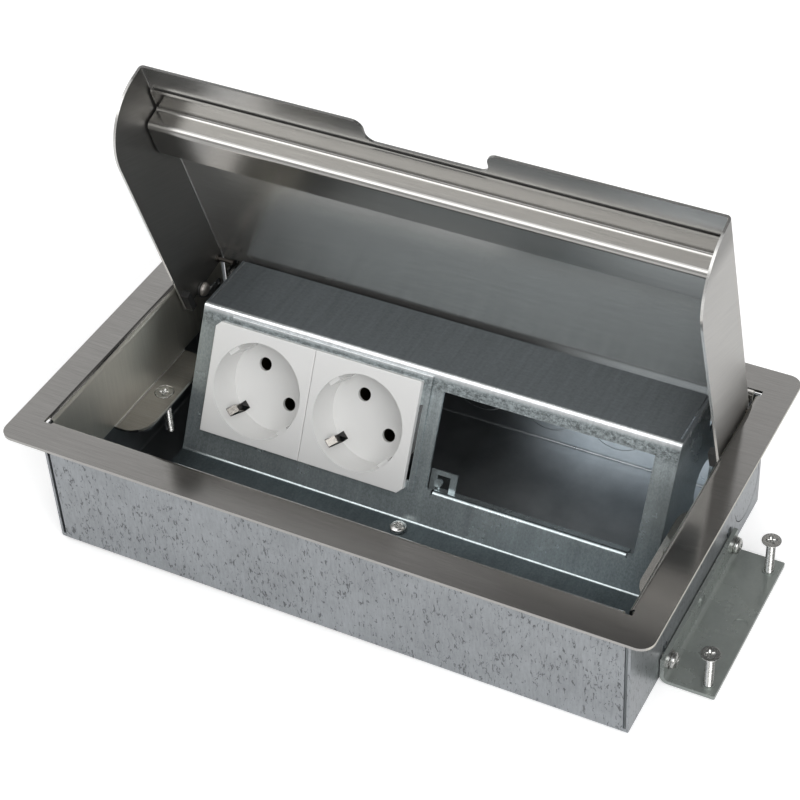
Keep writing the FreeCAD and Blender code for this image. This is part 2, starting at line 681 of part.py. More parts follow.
def make_lid():
    """Stainless lid: a flat panel with two bent cheeks and a cable outlet in its free edge."""
    body = new_body("lid")
    side = polygon(new_sketch(body, "YZ_Plane", "lid_side"), (
        ("Sizes.lid_tail", "Sizes.hinge_drop"), ("-Fits.lid_reach", "Sizes.hinge_drop"),
        ("-Fits.lid_reach", "Fits.cheek_bottom"), ("0", "Fits.cheek_bottom")))
    pad(body, "lid_block", side, "2 * Fits.half_lid_length", both_ways=True)
    round_edges(body, "cheek_corners", "Sizes.cheek_corner",
                lambda middle, box: near(middle.y, "-Fits.lid_reach")
                and near(middle.z, "Fits.cheek_bottom"))
    inside = rectangle(new_sketch(body, "YZ_Plane", "lid_inside"),
                       "-Fits.lid_reach - 5", "Sizes.lid_tail + 5", "Fits.cheek_bottom - 5",
                       "Fits.panel_inside")
    pocket(body, "lid_hollow", inside, "2 * Fits.cheek_inside", both_ways=True)
    round_edges(body, "lid_bend_outside", "Sizes.lid_bend + Sizes.lid_sheet",
                lambda middle, box: near(abs(middle.x), "Fits.half_lid_length")
                and near(box.ZMin, "Sizes.hinge_drop") and box.YLength > 10)
    round_edges(body, "lid_bend_inside", "Sizes.lid_bend",
                lambda middle, box: near(abs(middle.x), "Fits.cheek_inside")
                and near(box.ZMin, "Fits.panel_inside") and box.YLength > 10)
    notch = rectangle(new_sketch(body, "XY_Plane", "outlet_outline"),
                      "Sizes.outlet_shift - Sizes.outlet_width / 2",
                      "Sizes.outlet_shift + Sizes.outlet_width / 2",
                      "-Fits.lid_reach - 5", "-Fits.lid_reach + Sizes.outlet_depth")
    pocket(body, "outlet_cut", notch, "4 * Sizes.hinge_drop", both_ways=True)
    round_edges(body, "outlet_corners", "Sizes.outlet_corner",
                lambda middle, box: box.ZLength > 1 and box.YLength < 0.01
                and abs(middle.x) < size("Sizes.outlet_width")
                and middle.y < size("-Fits.lid_reach + Sizes.outlet_depth + 1"))
    holes = new_sketch(body, "YZ_Plane", "cheek_holes")
    circle(holes, "0", "0", "Sizes.pin_radius + Sizes.thread_clearance / 2")
    circle(holes, "Sizes.stay_back", "-Sizes.stay_drop", "Sizes.stay_radius + Sizes.thread_clearance")
    pocket(body, "cheek_hole_cuts", holes, "2 * Sizes.casing_length", both_ways=True)
    return seat_on_hinge(body)


def make_lid_brace():
    """Folded brace along the lid: a foot on the panel, an upright face, a flat and a slope."""
    body = new_body("lid_brace")
    panel = "Fits.panel_inside"
    sheet_wall = "Sizes.brace_sheet"
    foot = "(-Fits.lid_reach + Sizes.brace_setback)"
    face = "(%s + Sizes.brace_flange)" % foot
    shoulder = "(%s + Sizes.brace_top)" % face
    crest = "(%s - Sizes.brace_height)" % panel
    toe = "(%s + Sizes.brace_height / tan(Sizes.brace_fall * 1deg))" % shoulder
    skew = "%s * tan(Sizes.brace_fall / 2 * 1deg)" % sheet_wall
    foot_top = "(%s - Sizes.brace_lift)" % panel
    foot_low = "(%s - %s)" % (foot_top, sheet_wall)
    outline = polygon(new_sketch(body, "YZ_Plane", "brace_outline"), (
        (foot, foot_top), (foot, foot_low), (face, foot_low), (face, crest), (shoulder, crest),
        (toe, panel), ("%s - %s / sin(Sizes.brace_fall * 1deg)" % (toe, sheet_wall), panel),
        ("%s - %s" % (shoulder, skew), "%s + %s" % (crest, sheet_wall)),
        ("%s + %s" % (face, sheet_wall), "%s + %s" % (crest, sheet_wall)),
        ("%s + %s" % (face, sheet_wall), foot_top)))
    pad(body, "brace_body", outline,
        "2 * (Fits.cheek_inside - Sizes.lid_bend - Sizes.brace_end_gap)", both_ways=True)
    round_edges(body, "brace_bend", "Sizes.brace_bend",
                lambda middle, box: near(middle.y, face) and near(middle.z, crest)
                and box.XLength > 10)
    round_edges(body, "brace_inner_bend", "Sizes.brace_inner_bend",
                lambda middle, box: near(middle.y, face) and near(middle.z, foot_low)
                and box.XLength > 10)
    return seat_on_hinge(body)


def make_hinge_pins():
    """Two pins held in the cheeks, each with a collar against the cheek's inner face."""
    pins = []
    for side, axis_turn in (("left", -90.0), ("right", 90.0)):
        inner = "(Fits.cheek_inside - Sizes.pin_inner_reach)"
        collar = "(Fits.cheek_inside - Sizes.collar_width)"
        pin = turned("hinge_pin_" + side, (
            ("0", inner), ("Sizes.pin_radius", inner), ("Sizes.pin_radius", collar),
            ("Sizes.collar_radius", collar), ("Sizes.collar_radius", "Fits.cheek_inside"),
            ("Sizes.pin_radius", "Fits.cheek_inside"), ("Sizes.pin_radius", "Fits.pin_end"),
            ("0", "Fits.pin_end")))
        pins.append(aim(pin, Vector(0, 1, 0), axis_turn))
    return seat_on_hinge(group("hinge_pins", pins))


def make_stay_rivets():
    """Domed rivets whose shanks run in the frame's curved slots and stop the lid."""
    rivets = []
    head = "Sizes.stay_head_radius"
    washer = "(Fits.cheek_inside - Sizes.stay_washer_sheet)"
    for side, axis_turn in (("left", -90.0), ("right", 90.0)):
        crown = "(%s - Sizes.stay_head_height)" % washer
        cut = "Sizes.stay_head_chamfer"
        rivet = turned("stay_rivet_" + side, (
            ("0", crown), (head + " - " + cut, crown), (head, "%s + %s" % (crown, cut)),
            (head, washer), ("Sizes.stay_washer_radius", washer),
            ("Sizes.stay_washer_radius", "Fits.cheek_inside"),
            ("Sizes.stay_radius", "Fits.cheek_inside"), ("Sizes.stay_radius", "Fits.pin_end"),
            ("0", "Fits.pin_end")))
        aim(rivet, Vector(0, 1, 0), axis_turn)
        rivet.setExpression("Placement.Base.y", "Sizes.stay_back")
        rivet.setExpression("Placement.Base.z", "-Sizes.stay_drop")
        rivets.append(rivet)
    return seat_on_hinge(group("stay_rivets", rivets))


def make_buffers():
    """Black blocks on the cheeks' inner faces at their lower rear corners."""
    blocks = []
    for side, sign in (("left", "-"), ("right", "")):
        body = new_body("buffer_" + side)
        inner = sign + "(Fits.cheek_inside - Sizes.buffer_width)"
        outer = sign + "Fits.cheek_inside"
        outline = rectangle(new_sketch(body, "XY_Plane", "buffer_outline_" + side,
                                       ("0", "0", "Fits.cheek_bottom")),
                            inner, outer, "-Sizes.buffer_setback - Sizes.buffer_length",
                            "-Sizes.buffer_setback")
        pad(body, "buffer_body_" + side, outline, "Sizes.buffer_height")
        blocks.append(body)
    return seat_on_hinge(group("lid_buffers", blocks))


# ---------------------------------------------------------------- carrier
def make_carrier():
    """Slanted galvanized console: foot, inclined face with two cut-outs, top and side walls."""
    body = new_body("carrier")
    place(body, "0", "Fits.fold_y", "Sizes.casing_sheet")
    wall = "Sizes.carrier_sheet"
    angle = "(Sizes.carrier_angle * 1deg)"
    middle_of = ("0", "0", "Fits.carrier_centre")
    sides = polygon(new_sketch(body, "YZ_Plane", "carrier_side", middle_of), (
        ("-%s / tan(%s)" % (wall, angle), "0"), ("Fits.incline_run", "Fits.carrier_top"),
        ("Fits.carrier_top_rear", "Fits.carrier_top"),
        ("Fits.carrier_top_rear", "Fits.carrier_step"), ("Fits.carrier_rear", "Fits.carrier_step"),
        ("Fits.carrier_rear", "0")))
    pad(body, "carrier_block", sides, "Fits.carrier_length", both_ways=True)
    round_edges(body, "carrier_top_bend", "Sizes.carrier_bend + " + wall,
                lambda middle, box: near(middle.y, "Fits.incline_run")
                and near(middle.z, "Fits.carrier_top"))
    inner_start = "%s / sin(%s) - (1 + %s) / tan(%s)" % (wall, angle, wall, angle)
    inner_end = "%s / sin(%s) + (Fits.carrier_top - 2 * %s) / tan(%s)" % (wall, angle, wall, angle)
    hollow = polygon(new_sketch(body, "YZ_Plane", "carrier_hollow", middle_of), (
        (inner_start, "-1"), (inner_end, "Fits.carrier_top - " + wall),
        ("Fits.carrier_rear + 5", "Fits.carrier_top - " + wall), ("Fits.carrier_rear + 5", "-1")))
    pocket(body, "carrier_hollow_cut", hollow, "Fits.carrier_length - 2 * " + wall, both_ways=True)
    slits = new_sketch(body, "XY_Plane", "carrier_slits",
                       ("0", "0", "Fits.carrier_top + Sizes.carrier_slit"))
    for side in ("Fits.carrier_left + " + wall,
                 "Fits.carrier_right - %s - Sizes.carrier_slit" % wall):
        rectangle(slits, side, side + " + Sizes.carrier_slit", "Fits.incline_run + 2 * Sizes.carrier_bend",
                  "Fits.carrier_top_rear + " + wall)
    pocket(body, "carrier_slit_cuts", slits, "2 * Sizes.carrier_slit + " + wall)
    foot = rectangle(new_sketch(body, "YZ_Plane", "carrier_foot", middle_of),
                     "-Sizes.foot_reach", "%s / sin(%s) - %s / tan(%s)" % (wall, angle, wall, angle),
                     "0", wall)
    pad(body, "carrier_foot_plate", foot, "Fits.carrier_length", both_ways=True)
    round_edges(body, "carrier_foot_bend", "Sizes.carrier_bend",
                lambda middle, box: near(middle.y, 0) and near(middle.z, wall)
                and box.XLength > 10)

    def on_incline(name, depth="0"):
        return new_sketch(body, "XY_Plane", name,
                          ("0", "%s * sin(%s)" % (depth, angle), "%s - %s * cos(%s)" % (wall, depth, angle)),
                          (Vector(1, 0, 0), "Sizes.carrier_angle"))

    def height_on_incline(point):
        slope = math.radians(size("Sizes.carrier_angle"))
        return (point.z - size(wall)) * math.cos(slope) - point.y * math.sin(slope)

    half_opening = "(Sizes.module_size / 2 - Sizes.module_opening_margin)"
    modules = rectangle(on_incline("module_opening"),
                        "Fits.module_first - " + half_opening,
                        "Fits.module_first + Sizes.module_pitch + " + half_opening,
                        "Fits.module_up - " + half_opening, "Fits.module_up + " + half_opening)
    pocket(body, "module_opening_cut", modules, "4 * " + wall, both_ways=True)
    cutout = rectangle(on_incline("free_cutout"), "Fits.cutout_left", "Fits.cutout_right",
                       "Fits.cutout_lower", "Fits.cutout_upper")
    pocket(body, "free_cutout_cut", cutout, "4 * " + wall, both_ways=True)
    round_edges(body, "free_cutout_corners", "Sizes.cutout_corner",
                lambda middle, box: 0.3 < box.ZLength < 1.2 and 0.3 < box.YLength
                and box.XLength < 0.01
                and (near(middle.x, "Fits.cutout_left") or near(middle.x, "Fits.cutout_right")))
    lip_ends = ("Fits.cutout_left + Sizes.cutout_lip_inset",
                "Fits.cutout_right - Sizes.cutout_lip_inset")
    lip = rectangle(on_incline("cutout_lip"), lip_ends[0], lip_ends[1],
                    "Fits.cutout_lower - " + wall, "Fits.cutout_lower")
    pad(body, "cutout_lip_plate", lip, "Sizes.cutout_lip", backwards=True)
    reliefs = on_incline("cutout_reliefs")
    deep = "Fits.cutout_lower - Sizes.cutout_lip_bend - Sizes.cutout_relief / 2"
    rectangle(reliefs, lip_ends[0] + " - Sizes.cutout_relief", lip_ends[0], deep,
              "Fits.cutout_lower + Sizes.cutout_relief")
    rectangle(reliefs, lip_ends[1], lip_ends[1] + " + Sizes.cutout_relief", deep,
              "Fits.cutout_lower + Sizes.cutout_relief")
    pocket(body, "cutout_relief_cuts", reliefs, "4 * " + wall, both_ways=True)
    lip_edge = "Fits.cutout_lower * cos(%s)" % angle
    round_edges(body, "cutout_lip_edge", "Sizes.cutout_lip_bend",
                lambda middle, box: abs(height_on_incline(middle)) < 0.01 and box.XLength > 10
                and near(middle.y, lip_edge) and middle.x > size("Fits.cutout_left"))

    left = "(Fits.cutout_left - Sizes.lug_start)"
    right = "(%s + Sizes.lug_width)" % left
    low = "(Fits.cutout_lower - %s)" % wall
    top = "(Fits.cutout_lower + Sizes.lug_rise)"
    bar = "(%s - Sizes.lug_bar)" % top
    lug = polygon(on_incline("earth_lug", "Sizes.lug_depth"), (
        (left, low), ("%s + Sizes.lug_leg" % left, low), ("%s + Sizes.lug_leg" % left, bar),
        ("%s - Sizes.lug_leg" % right, bar), ("%s - Sizes.lug_leg" % right, low), (right, low),
        (right, top), (left, top)))
    pad(body, "earth_lug_plate", lug, "Sizes.lug_sheet", backwards=True)
    stud_x = "(Fits.cutout_left + Sizes.lug_stud_shift)"
    stud_up = "(Fits.cutout_lower + Sizes.lug_stud_rise)"
    tongue = rectangle(on_incline("earth_tongue", "Sizes.lug_depth"), stud_x,
                       stud_x + " + Sizes.lug_stud_radius / 2", low, stud_up)
    pad(body, "earth_tongue_plate", tongue, "Sizes.lug_sheet", backwards=True)
    stud = circle(on_incline("earth_stud", "Sizes.lug_depth"), stud_x, stud_up,
                  "Sizes.lug_stud_radius")
    pad(body, "earth_stud_body", stud, "2 * Sizes.lug_sheet", both_ways=True)

    rim_left = "(Fits.module_first - Sizes.module_size / 2 + Sizes.rim_start)"
    rim_in = "(Fits.inserts_edge + Sizes.rim_side_gap)"
    rim_out = "(%s + Sizes.rim_width)" % rim_in
    rim_low = "(Fits.module_up - Sizes.module_size / 2 + Sizes.rim_side_gap)"
    rim_under = "(Fits.module_up + Fits.insert_top + Sizes.rim_top_gap)"
    rim_high = "(%s + Sizes.rim_width)" % rim_under
    rim = polygon(on_incline("opening_rim"), (
        (rim_left, rim_under), (rim_in, rim_under), (rim_in, rim_low), (rim_out, rim_low),
        (rim_out, rim_high), (rim_left, rim_high)))
    pad(body, "opening_rim_body", rim, "Sizes.rim_height")
    round_edges(body, "opening_rim_edges", "Sizes.rim_height / 2",
                lambda middle, box: abs(height_on_incline(middle) - size("Sizes.rim_height")) < 0.01)
    gap = rectangle(on_incline("rim_slot"), "Fits.inserts_edge - Sizes.rim_top_gap / 2", rim_in,
                    "Fits.module_up - Sizes.rim_slot_low", "Fits.module_up + Sizes.rim_slot_high")
    pocket(body, "rim_slot_cut", gap, "4 * " + wall, both_ways=True)

    holes = new_sketch(body, "YZ_Plane", "cable_holes")
    circle(holes, "Fits.carrier_rear - Sizes.cable_hole_back", "Sizes.cable_hole_height",
           "Sizes.cable_hole_radius")
    pocket(body, "cable_hole_cuts", holes, "2 * Sizes.casing_length", both_ways=True)
    screw_hole = new_sketch(body, "XY_Plane", "foot_screw_hole")
    circle(screw_hole, "Sizes.foot_screw_shift", "-Sizes.foot_screw_forward",
           "Sizes.screw_radius + Sizes.screw_clearance")
    pocket(body, "foot_screw_hole_cut", screw_hole, "4 * " + wall, both_ways=True)
    return body


def pan_outline(length):
    """Half outline of a pan-head screw, with the head's underside at height 0."""
    head = "Sizes.pan_head_radius"
    return (("0", "Sizes.pan_head_height"), (head, "Sizes.pan_head_height"), (head, "0"),
            ("Sizes.screw_radius", "0"), ("Sizes.screw_radius", "-(%s)" % length),
            ("0", "-(%s)" % length))


def make_carrier_screw():
    """The pan-head screw that holds the carrier's foot to the casing's floor."""
    screw = turned("carrier_screw", pan_outline("Sizes.carrier_sheet + Sizes.casing_sheet"))
    place(screw, "Sizes.foot_screw_shift", "Fits.fold_y - Sizes.foot_screw_forward",
          "Sizes.casing_sheet + Sizes.carrier_sheet")
    return screw


# ---------------------------------------------------------------- sockets
def seat_on_incline(item, shift):
    """Put a piece that is drawn on the ground onto the inclined face, at one module's centre."""
    place(item, "Fits.module_first + %s" % shift,
          "Fits.fold_y + Fits.module_up * cos(Sizes.carrier_angle * 1deg)",
          "Sizes.casing_sheet + Sizes.carrier_sheet"
          " + Fits.module_up * sin(Sizes.carrier_angle * 1deg)", "Sizes.carrier_angle")
    return item


def make_insert(label, side):
    """White face plate with its round recess, pin holes, guide ribs and the earth clips' slots."""
    body = new_body(label)
    half = "Sizes.module_size / 2"
    cut = "Sizes.module_chamfer"
    top = "Fits.insert_top"
    if side == "left":
        corners = (("-" + half, "-" + half), (half, "-" + half), (half, top),
                   ("-%s + %s" % (half, cut), top), ("-" + half, "%s - %s" % (top, cut)))
    else:
        edge = "(%s + Sizes.module_outer_rim)" % half
        corners = (("-" + half, "-" + half), ("%s - %s" % (edge, cut), "-" + half),
                   (edge, "-%s + %s" % (half, cut)), (edge, top), ("-" + half, top))
    plate = polygon(new_sketch(body, "XY_Plane", label + "_plate"), corners)
    pad(body, label + "_face", plate, "Sizes.module_proud")
    round_edges(body, label + "_edges", "Sizes.module_corner",
                lambda middle, box: near(box.ZMin, "Sizes.module_proud"))
    cup = circle(new_sketch(body, "XY_Plane", label + "_cup"), "0", "0",
                 "Fits.recess_radius + Sizes.recess_wall")
    pad(body, label + "_cup_wall", cup, "Fits.recess_back", backwards=True)
    recess = circle(new_sketch(body, "XY_Plane", label + "_recess",
                               ("0", "0", "Sizes.module_proud")), "0", "0", "Fits.recess_radius")
    pocket(body, label + "_recess_cut", recess, "Sizes.recess_depth")
    floor = "Sizes.module_proud - Sizes.recess_depth"
    guides = new_sketch(body, "XY_Plane", label + "_guides", ("0", "0", floor),
                        (Vector(0, 0, 1), "135"))
    inner = "(Fits.recess_radius - Sizes.guide_reach)"
    outer = "(Fits.recess_radius + Sizes.recess_wall / 2)"
    for sign in ("-", ""):
        rectangle(guides, sign + inner, sign + outer, "-Sizes.guide_width / 2",
                  "Sizes.guide_width / 2")
    pad(body, label + "_guide_ribs", guides, "Sizes.recess_depth - Sizes.guide_drop")
    pins = new_sketch(body, "XY_Plane", label + "_pins")
    circle(pins, "-Fits.pin_offset", "Fits.pin_offset", "Sizes.pin_hole_radius")
    circle(pins, "Fits.pin_offset", "-Fits.pin_offset", "Sizes.pin_hole_radius")
    pocket(body, label + "_pin_holes", pins, "3 * Sizes.recess_depth", both_ways=True)
    slots = new_sketch(body, "XY_Plane", label + "_clip_slots",
                       ("0", "0", "Sizes.module_proud - Sizes.clip_top"), (Vector(0, 0, 1), "45"))
    slot = "(Sizes.clip_width / 2 + Sizes.clip_slot_play)"
    for sign in ("-", ""):
        rectangle(slots, sign + "(Fits.recess_radius - Sizes.clip_floor_reach)",
                  sign + "(Fits.recess_radius + 2 * Sizes.recess_wall)", "-" + slot, slot)
    pocket(body, label + "_clip_slot_cuts", slots, "Sizes.recess_depth")
    return body


def make_terminal(label):
    """The closed terminal block behind the recess, bored for the two contact sleeves."""
    body = new_body(label)
    length = "Sizes.terminal_length / 2"
    width = "Sizes.terminal_width / 2"
    block = rectangle(new_sketch(body, "XY_Plane", label + "_outline",
                                 ("0", "0", "-Fits.recess_back")),
                      "-" + length, length, "-" + width, width)
    pad(body, label + "_block", block, "Sizes.terminal_depth", backwards=True)
    round_edges(body, label + "_corners", "Sizes.module_corner",
                lambda middle, box: box.ZLength > 5)
    bores = new_sketch(body, "XY_Plane", label + "_bores", ("0", "0", "-Fits.recess_back"))
    radius = "Sizes.pin_hole_radius + Sizes.sleeve_wall + Sizes.thread_clearance"
    circle(bores, "-Fits.pin_offset", "Fits.pin_offset", radius)
    circle(bores, "Fits.pin_offset", "-Fits.pin_offset", radius)
    pocket(body, label + "_bore_cuts", bores, "Sizes.sleeve_length")
    return body


def make_sleeves(label):
    """The two brass contact sleeves behind the pin holes."""
    sleeves = []
    inner = "Sizes.pin_hole_radius"
    outer = "Sizes.pin_hole_radius + Sizes.sleeve_wall"
    for name, across, up in (("upper", "-Fits.pin_offset", "Fits.pin_offset"),
                             ("lower", "Fits.pin_offset", "-Fits.pin_offset")):
        sleeve = turned("%s_%s" % (label, name), (
            (inner, "-Sizes.sleeve_length"), (outer, "-Sizes.sleeve_length"), (outer, "0"),
            (inner, "0")))
        place(sleeve, across, up, "-Fits.recess_back")
        sleeves.append(sleeve)
    return group(label, sleeves)


def make_earth_clips(label):
    """The two bent earth clips that lean into the recess across the other diagonal."""
    clips = []
    sheet_wall = "Sizes.clip_sheet"
    outer = "(Fits.recess_radius + Sizes.clip_sheet)"
    crest = "(Fits.recess_radius - Sizes.clip_bulge)"
    top = "Sizes.module_proud - Sizes.clip_top - Sizes.clip_slot_play"
    bend = "Sizes.module_proud - Sizes.clip_crest"
    low = "Sizes.module_proud - Sizes.recess_depth"
    for name, degrees in (("lower", "225"), ("upper", "45")):
        body = new_body("%s_%s" % (label, name))
        outline = polygon(new_sketch(body, "XZ_Plane", "%s_%s_outline" % (label, name)), (
            (outer, low), ("%s + %s" % (crest, sheet_wall), bend), (outer, top),
            ("%s - %s" % (outer, sheet_wall), top), (crest, bend),
            ("%s - %s" % (outer, sheet_wall), low)))
        pad(body, "%s_%s_strip" % (label, name), outline, "Sizes.clip_width", both_ways=True)
        body.Placement = FreeCAD.Placement(Vector(), FreeCAD.Rotation(Vector(0, 0, 1), 1))
        body.setExpression("Placement.Rotation.Angle", degrees)
        clips.append(body)
    return group(label, clips)


def make_sockets():
    """Two equal socket modules side by side."""
    nodes = []
    for side, shift in (("left", "0"), ("right", "Sizes.module_pitch")):
        name = "socket_%s_" % side
        for piece in (make_insert(name + "insert", side), make_terminal(name + "terminals"),
                      make_sleeves(name + "sleeves"), make_earth_clips(name + "earth_clips")):
            nodes.append(seat_on_incline(piece, shift))
    return nodes


# ---------------------------------------------------------------- height brackets
def make_bracket(side, sign):
    """Angle plate on the casing's side wall, slid up or down along the wall's slots."""
    body = new_body("bracket_" + side)
    face = "%sFits.bracket_face" % sign
    back = "%s(Fits.bracket_face + Sizes.bracket_sheet)" % sign
    edge = "%sFits.bracket_edge" % sign
    profile = polygon(new_sketch(body, "XZ_Plane", body.Name + "_profile"), (
        (face, "0"), (edge, "0"), (edge, "Sizes.bracket_sheet"), (back, "Sizes.bracket_sheet"),
        (back, "Sizes.bracket_height"), (face, "Sizes.bracket_height")))
    pad(body, body.Name + "_angle", profile, "Sizes.bracket_length", both_ways=True)
    round_edges(body, body.Name + "_bend", "Sizes.bracket_bend + Sizes.bracket_sheet",
                lambda middle, box: near(middle.x, face) and near(middle.z, 0)
                and box.YLength > 10)
    round_edges(body, body.Name + "_bend_inside", "Sizes.bracket_bend",
                lambda middle, box: near(middle.x, back)
                and near(middle.z, "Sizes.bracket_sheet") and box.YLength > 10)
    round_edges(body, body.Name + "_corners", "Sizes.bracket_corner",
                lambda middle, box: near(abs(middle.y), "Sizes.bracket_length / 2")
                and near(middle.x, edge) and box.ZLength > 1)
    pad(body, body.Name + "_hole_collar",
        circle(new_sketch(body, "YZ_Plane", body.Name + "_hole_collar_outline", ("0", "0", back)),
               "0", "Sizes.bracket_hole_height", "Sizes.bracket_hole_radius + Sizes.hole_collar_wall"),
        "Sizes.hole_collar_height", backwards=bool(sign))
    thread = "Sizes.level_screw_radius + Sizes.thread_clearance"
    collars = new_sketch(body, "XY_Plane", body.Name + "_thread_collars",
                         ("0", "0", "Sizes.bracket_sheet"))
    for along in ("-", ""):
        circle(collars, sign + "Fits.level_screw_place",
               along + "Sizes.level_screw_offset + Sizes.level_screw_shift",
               thread + " + Sizes.hole_collar_wall")
    pad(body, body.Name + "_thread_collar_rings", collars, "Sizes.hole_collar_height")
    boss = circle(new_sketch(body, "XY_Plane", body.Name + "_boss",
                             ("0", "0", "Sizes.bracket_sheet")),
                  "%s(Fits.bracket_edge - Sizes.boss_shift)" % sign, "0", "Sizes.boss_radius")
    pocket(body, body.Name + "_boss_dimple", boss, "Sizes.boss_depth")
    wall_holes = new_sketch(body, "YZ_Plane", body.Name + "_wall_holes")
    circle(wall_holes, "0", "Sizes.bracket_hole_height", "Sizes.bracket_hole_radius")
    for along in ("-", ""):
        circle(wall_holes, along + "Sizes.bracket_screw_offset", "Sizes.bracket_screw_height",
               "Sizes.screw_radius + Sizes.thread_clearance")
    pocket(body, body.Name + "_wall_hole_cuts", wall_holes, "2 * Sizes.casing_length",
           both_ways=True)
    plate_holes = new_sketch(body, "XY_Plane", body.Name + "_plate_holes")
    for along in ("-", ""):
        circle(plate_holes, sign + "Fits.level_screw_place",
               along + "Sizes.level_screw_offset + Sizes.level_screw_shift", thread)
    pocket(body, body.Name + "_plate_hole_cuts", plate_holes, "4 * Sizes.bracket_sheet",
           both_ways=True)
    return body


def make_bracket_fasteners(side, sign):
    """Screws, washers and nuts that clamp a bracket through the casing's slots."""
    screws = []
    washers = []
    nuts = []
    degrees = 90.0 if sign == "" else -90.0
    bore = "Sizes.screw_radius + Sizes.thread_clearance"
    outside = "Fits.bracket_face + Sizes.bracket_sheet"
    inside = "Fits.half_casing_length - Sizes.casing_sheet - Sizes.seat_gap"
    for name, along in (("front", "-"), ("rear", "")):
        label = "bracket_%s_%s" % (side, name)
        screw = turned(label + "_screw", pan_outline("Sizes.bracket_screw_length"))
        washer = turned(label + "_washer", (
            (bore, "0"), ("Sizes.washer_radius", "0"), ("Sizes.washer_radius", "Sizes.washer_sheet"),
            (bore, "Sizes.washer_sheet")))
        nut = new_body(label + "_nut")
        flat = "Sizes.nut_radius"
        point = "(2 * Sizes.nut_radius / sqrt(3))"
        hexagon = polygon(new_sketch(nut, "XY_Plane", label + "_hexagon"), (
            (flat, "-%s / 2" % point), (flat, "%s / 2" % point), ("0", point),
            ("-" + flat, "%s / 2" % point), ("-" + flat, "-%s / 2" % point), ("0", "-" + point)))
        pad(nut, label + "_nut_body", hexagon, "Sizes.nut_height", backwards=True)
        hole = circle(new_sketch(nut, "XY_Plane", label + "_nut_bore"), "0", "0", bore)
        pocket(nut, label + "_nut_thread", hole, "3 * Sizes.nut_height", both_ways=True)
        for piece, rule in ((screw, outside + " + Sizes.washer_sheet"), (washer, outside),
                            (nut, inside)):
            aim(piece, Vector(0, 1, 0), degrees)
            piece.setExpression("Placement.Base.x", "%s(%s)" % (sign, rule))
            piece.setExpression("Placement.Base.y", along + "Sizes.bracket_screw_offset")
            piece.setExpression("Placement.Base.z", "Sizes.bracket_screw_height")
        screws.append(screw)
        washers.append(washer)
        nuts.append(nut)
    return [group("bracket_%s_screws" % side, screws), group("bracket_%s_washers" % side, washers),
            group("bracket_%s_nuts" % side, nuts)]


def make_levelling_screws(side, sign):
    """Countersunk screws that stand head up in the bracket's threaded holes."""
    screws = []
    head = "Sizes.sunk_head_radius"
    shank = "Sizes.level_screw_radius"
    for name, along in (("front", "-"), ("rear", "")):
        screw = turned("levelling_screw_%s_%s" % (side, name), (
            ("0", "0"), (shank, "0"), (shank, "Sizes.level_screw_length + %s - %s" % (shank, head)),
            (head, "Sizes.level_screw_length"), ("0", "Sizes.level_screw_length")))
        place(screw, sign + "Fits.level_screw_place",
              along + "Sizes.level_screw_offset + Sizes.level_screw_shift", "0")
        screws.append(screw)
    return screws


# ---------------------------------------------------------------- assembly
nodes = [make_casing(), make_frame()]
nodes += make_frame_fasteners()
nodes += [make_lid(), make_lid_brace(), make_hinge_pins(), make_stay_rivets(), make_buffers()]
nodes += [make_carrier(), make_carrier_screw()]
nodes += make_sockets()
for side, sign in (("right", ""), ("left", "-")):
    nodes.append(make_bracket(side, sign))
    nodes += make_bracket_fasteners(side, sign)
    nodes += make_levelling_screws(side, sign)

doc.recompute()
for item in doc.Objects:
    if "Invalid" in item.State or "Error" in item.State:
        raise RuntimeError("%s did not recompute: %s" % (item.Name, item.State))
for node in nodes:
    if node.Shape.isNull() or not node.Shape.isValid():
        raise RuntimeError("%s has no valid shape" % node.Label)

os.makedirs("parts", exist_ok=True)
for node in nodes:
    node.Shape.exportStep("parts/%s.step" % node.Label)
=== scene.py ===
import json
import math

import bpy
from mathutils import Matrix, Vector


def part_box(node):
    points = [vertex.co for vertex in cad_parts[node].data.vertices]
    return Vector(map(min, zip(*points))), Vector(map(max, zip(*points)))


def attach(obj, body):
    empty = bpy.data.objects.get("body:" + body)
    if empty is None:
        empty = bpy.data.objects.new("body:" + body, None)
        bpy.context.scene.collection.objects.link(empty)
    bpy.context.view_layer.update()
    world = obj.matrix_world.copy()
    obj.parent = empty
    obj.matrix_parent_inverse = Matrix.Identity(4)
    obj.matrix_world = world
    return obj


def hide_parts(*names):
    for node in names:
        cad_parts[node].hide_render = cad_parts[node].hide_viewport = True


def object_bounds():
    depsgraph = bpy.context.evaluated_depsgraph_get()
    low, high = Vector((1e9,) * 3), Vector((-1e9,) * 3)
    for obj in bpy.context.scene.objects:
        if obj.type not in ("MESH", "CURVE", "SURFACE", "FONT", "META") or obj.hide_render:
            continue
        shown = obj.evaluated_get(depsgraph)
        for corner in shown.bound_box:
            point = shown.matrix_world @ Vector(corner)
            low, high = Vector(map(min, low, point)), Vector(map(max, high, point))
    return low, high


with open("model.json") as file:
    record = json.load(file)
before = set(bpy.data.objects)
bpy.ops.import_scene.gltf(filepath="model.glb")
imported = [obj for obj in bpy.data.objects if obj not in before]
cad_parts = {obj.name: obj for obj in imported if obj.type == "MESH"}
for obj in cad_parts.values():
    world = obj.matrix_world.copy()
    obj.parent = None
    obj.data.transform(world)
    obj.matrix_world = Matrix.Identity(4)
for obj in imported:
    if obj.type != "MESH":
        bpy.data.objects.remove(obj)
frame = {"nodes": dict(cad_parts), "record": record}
cad_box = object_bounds()

# Lengths are in metres. X runs to the right end of the box, -Y to its front, Z up.

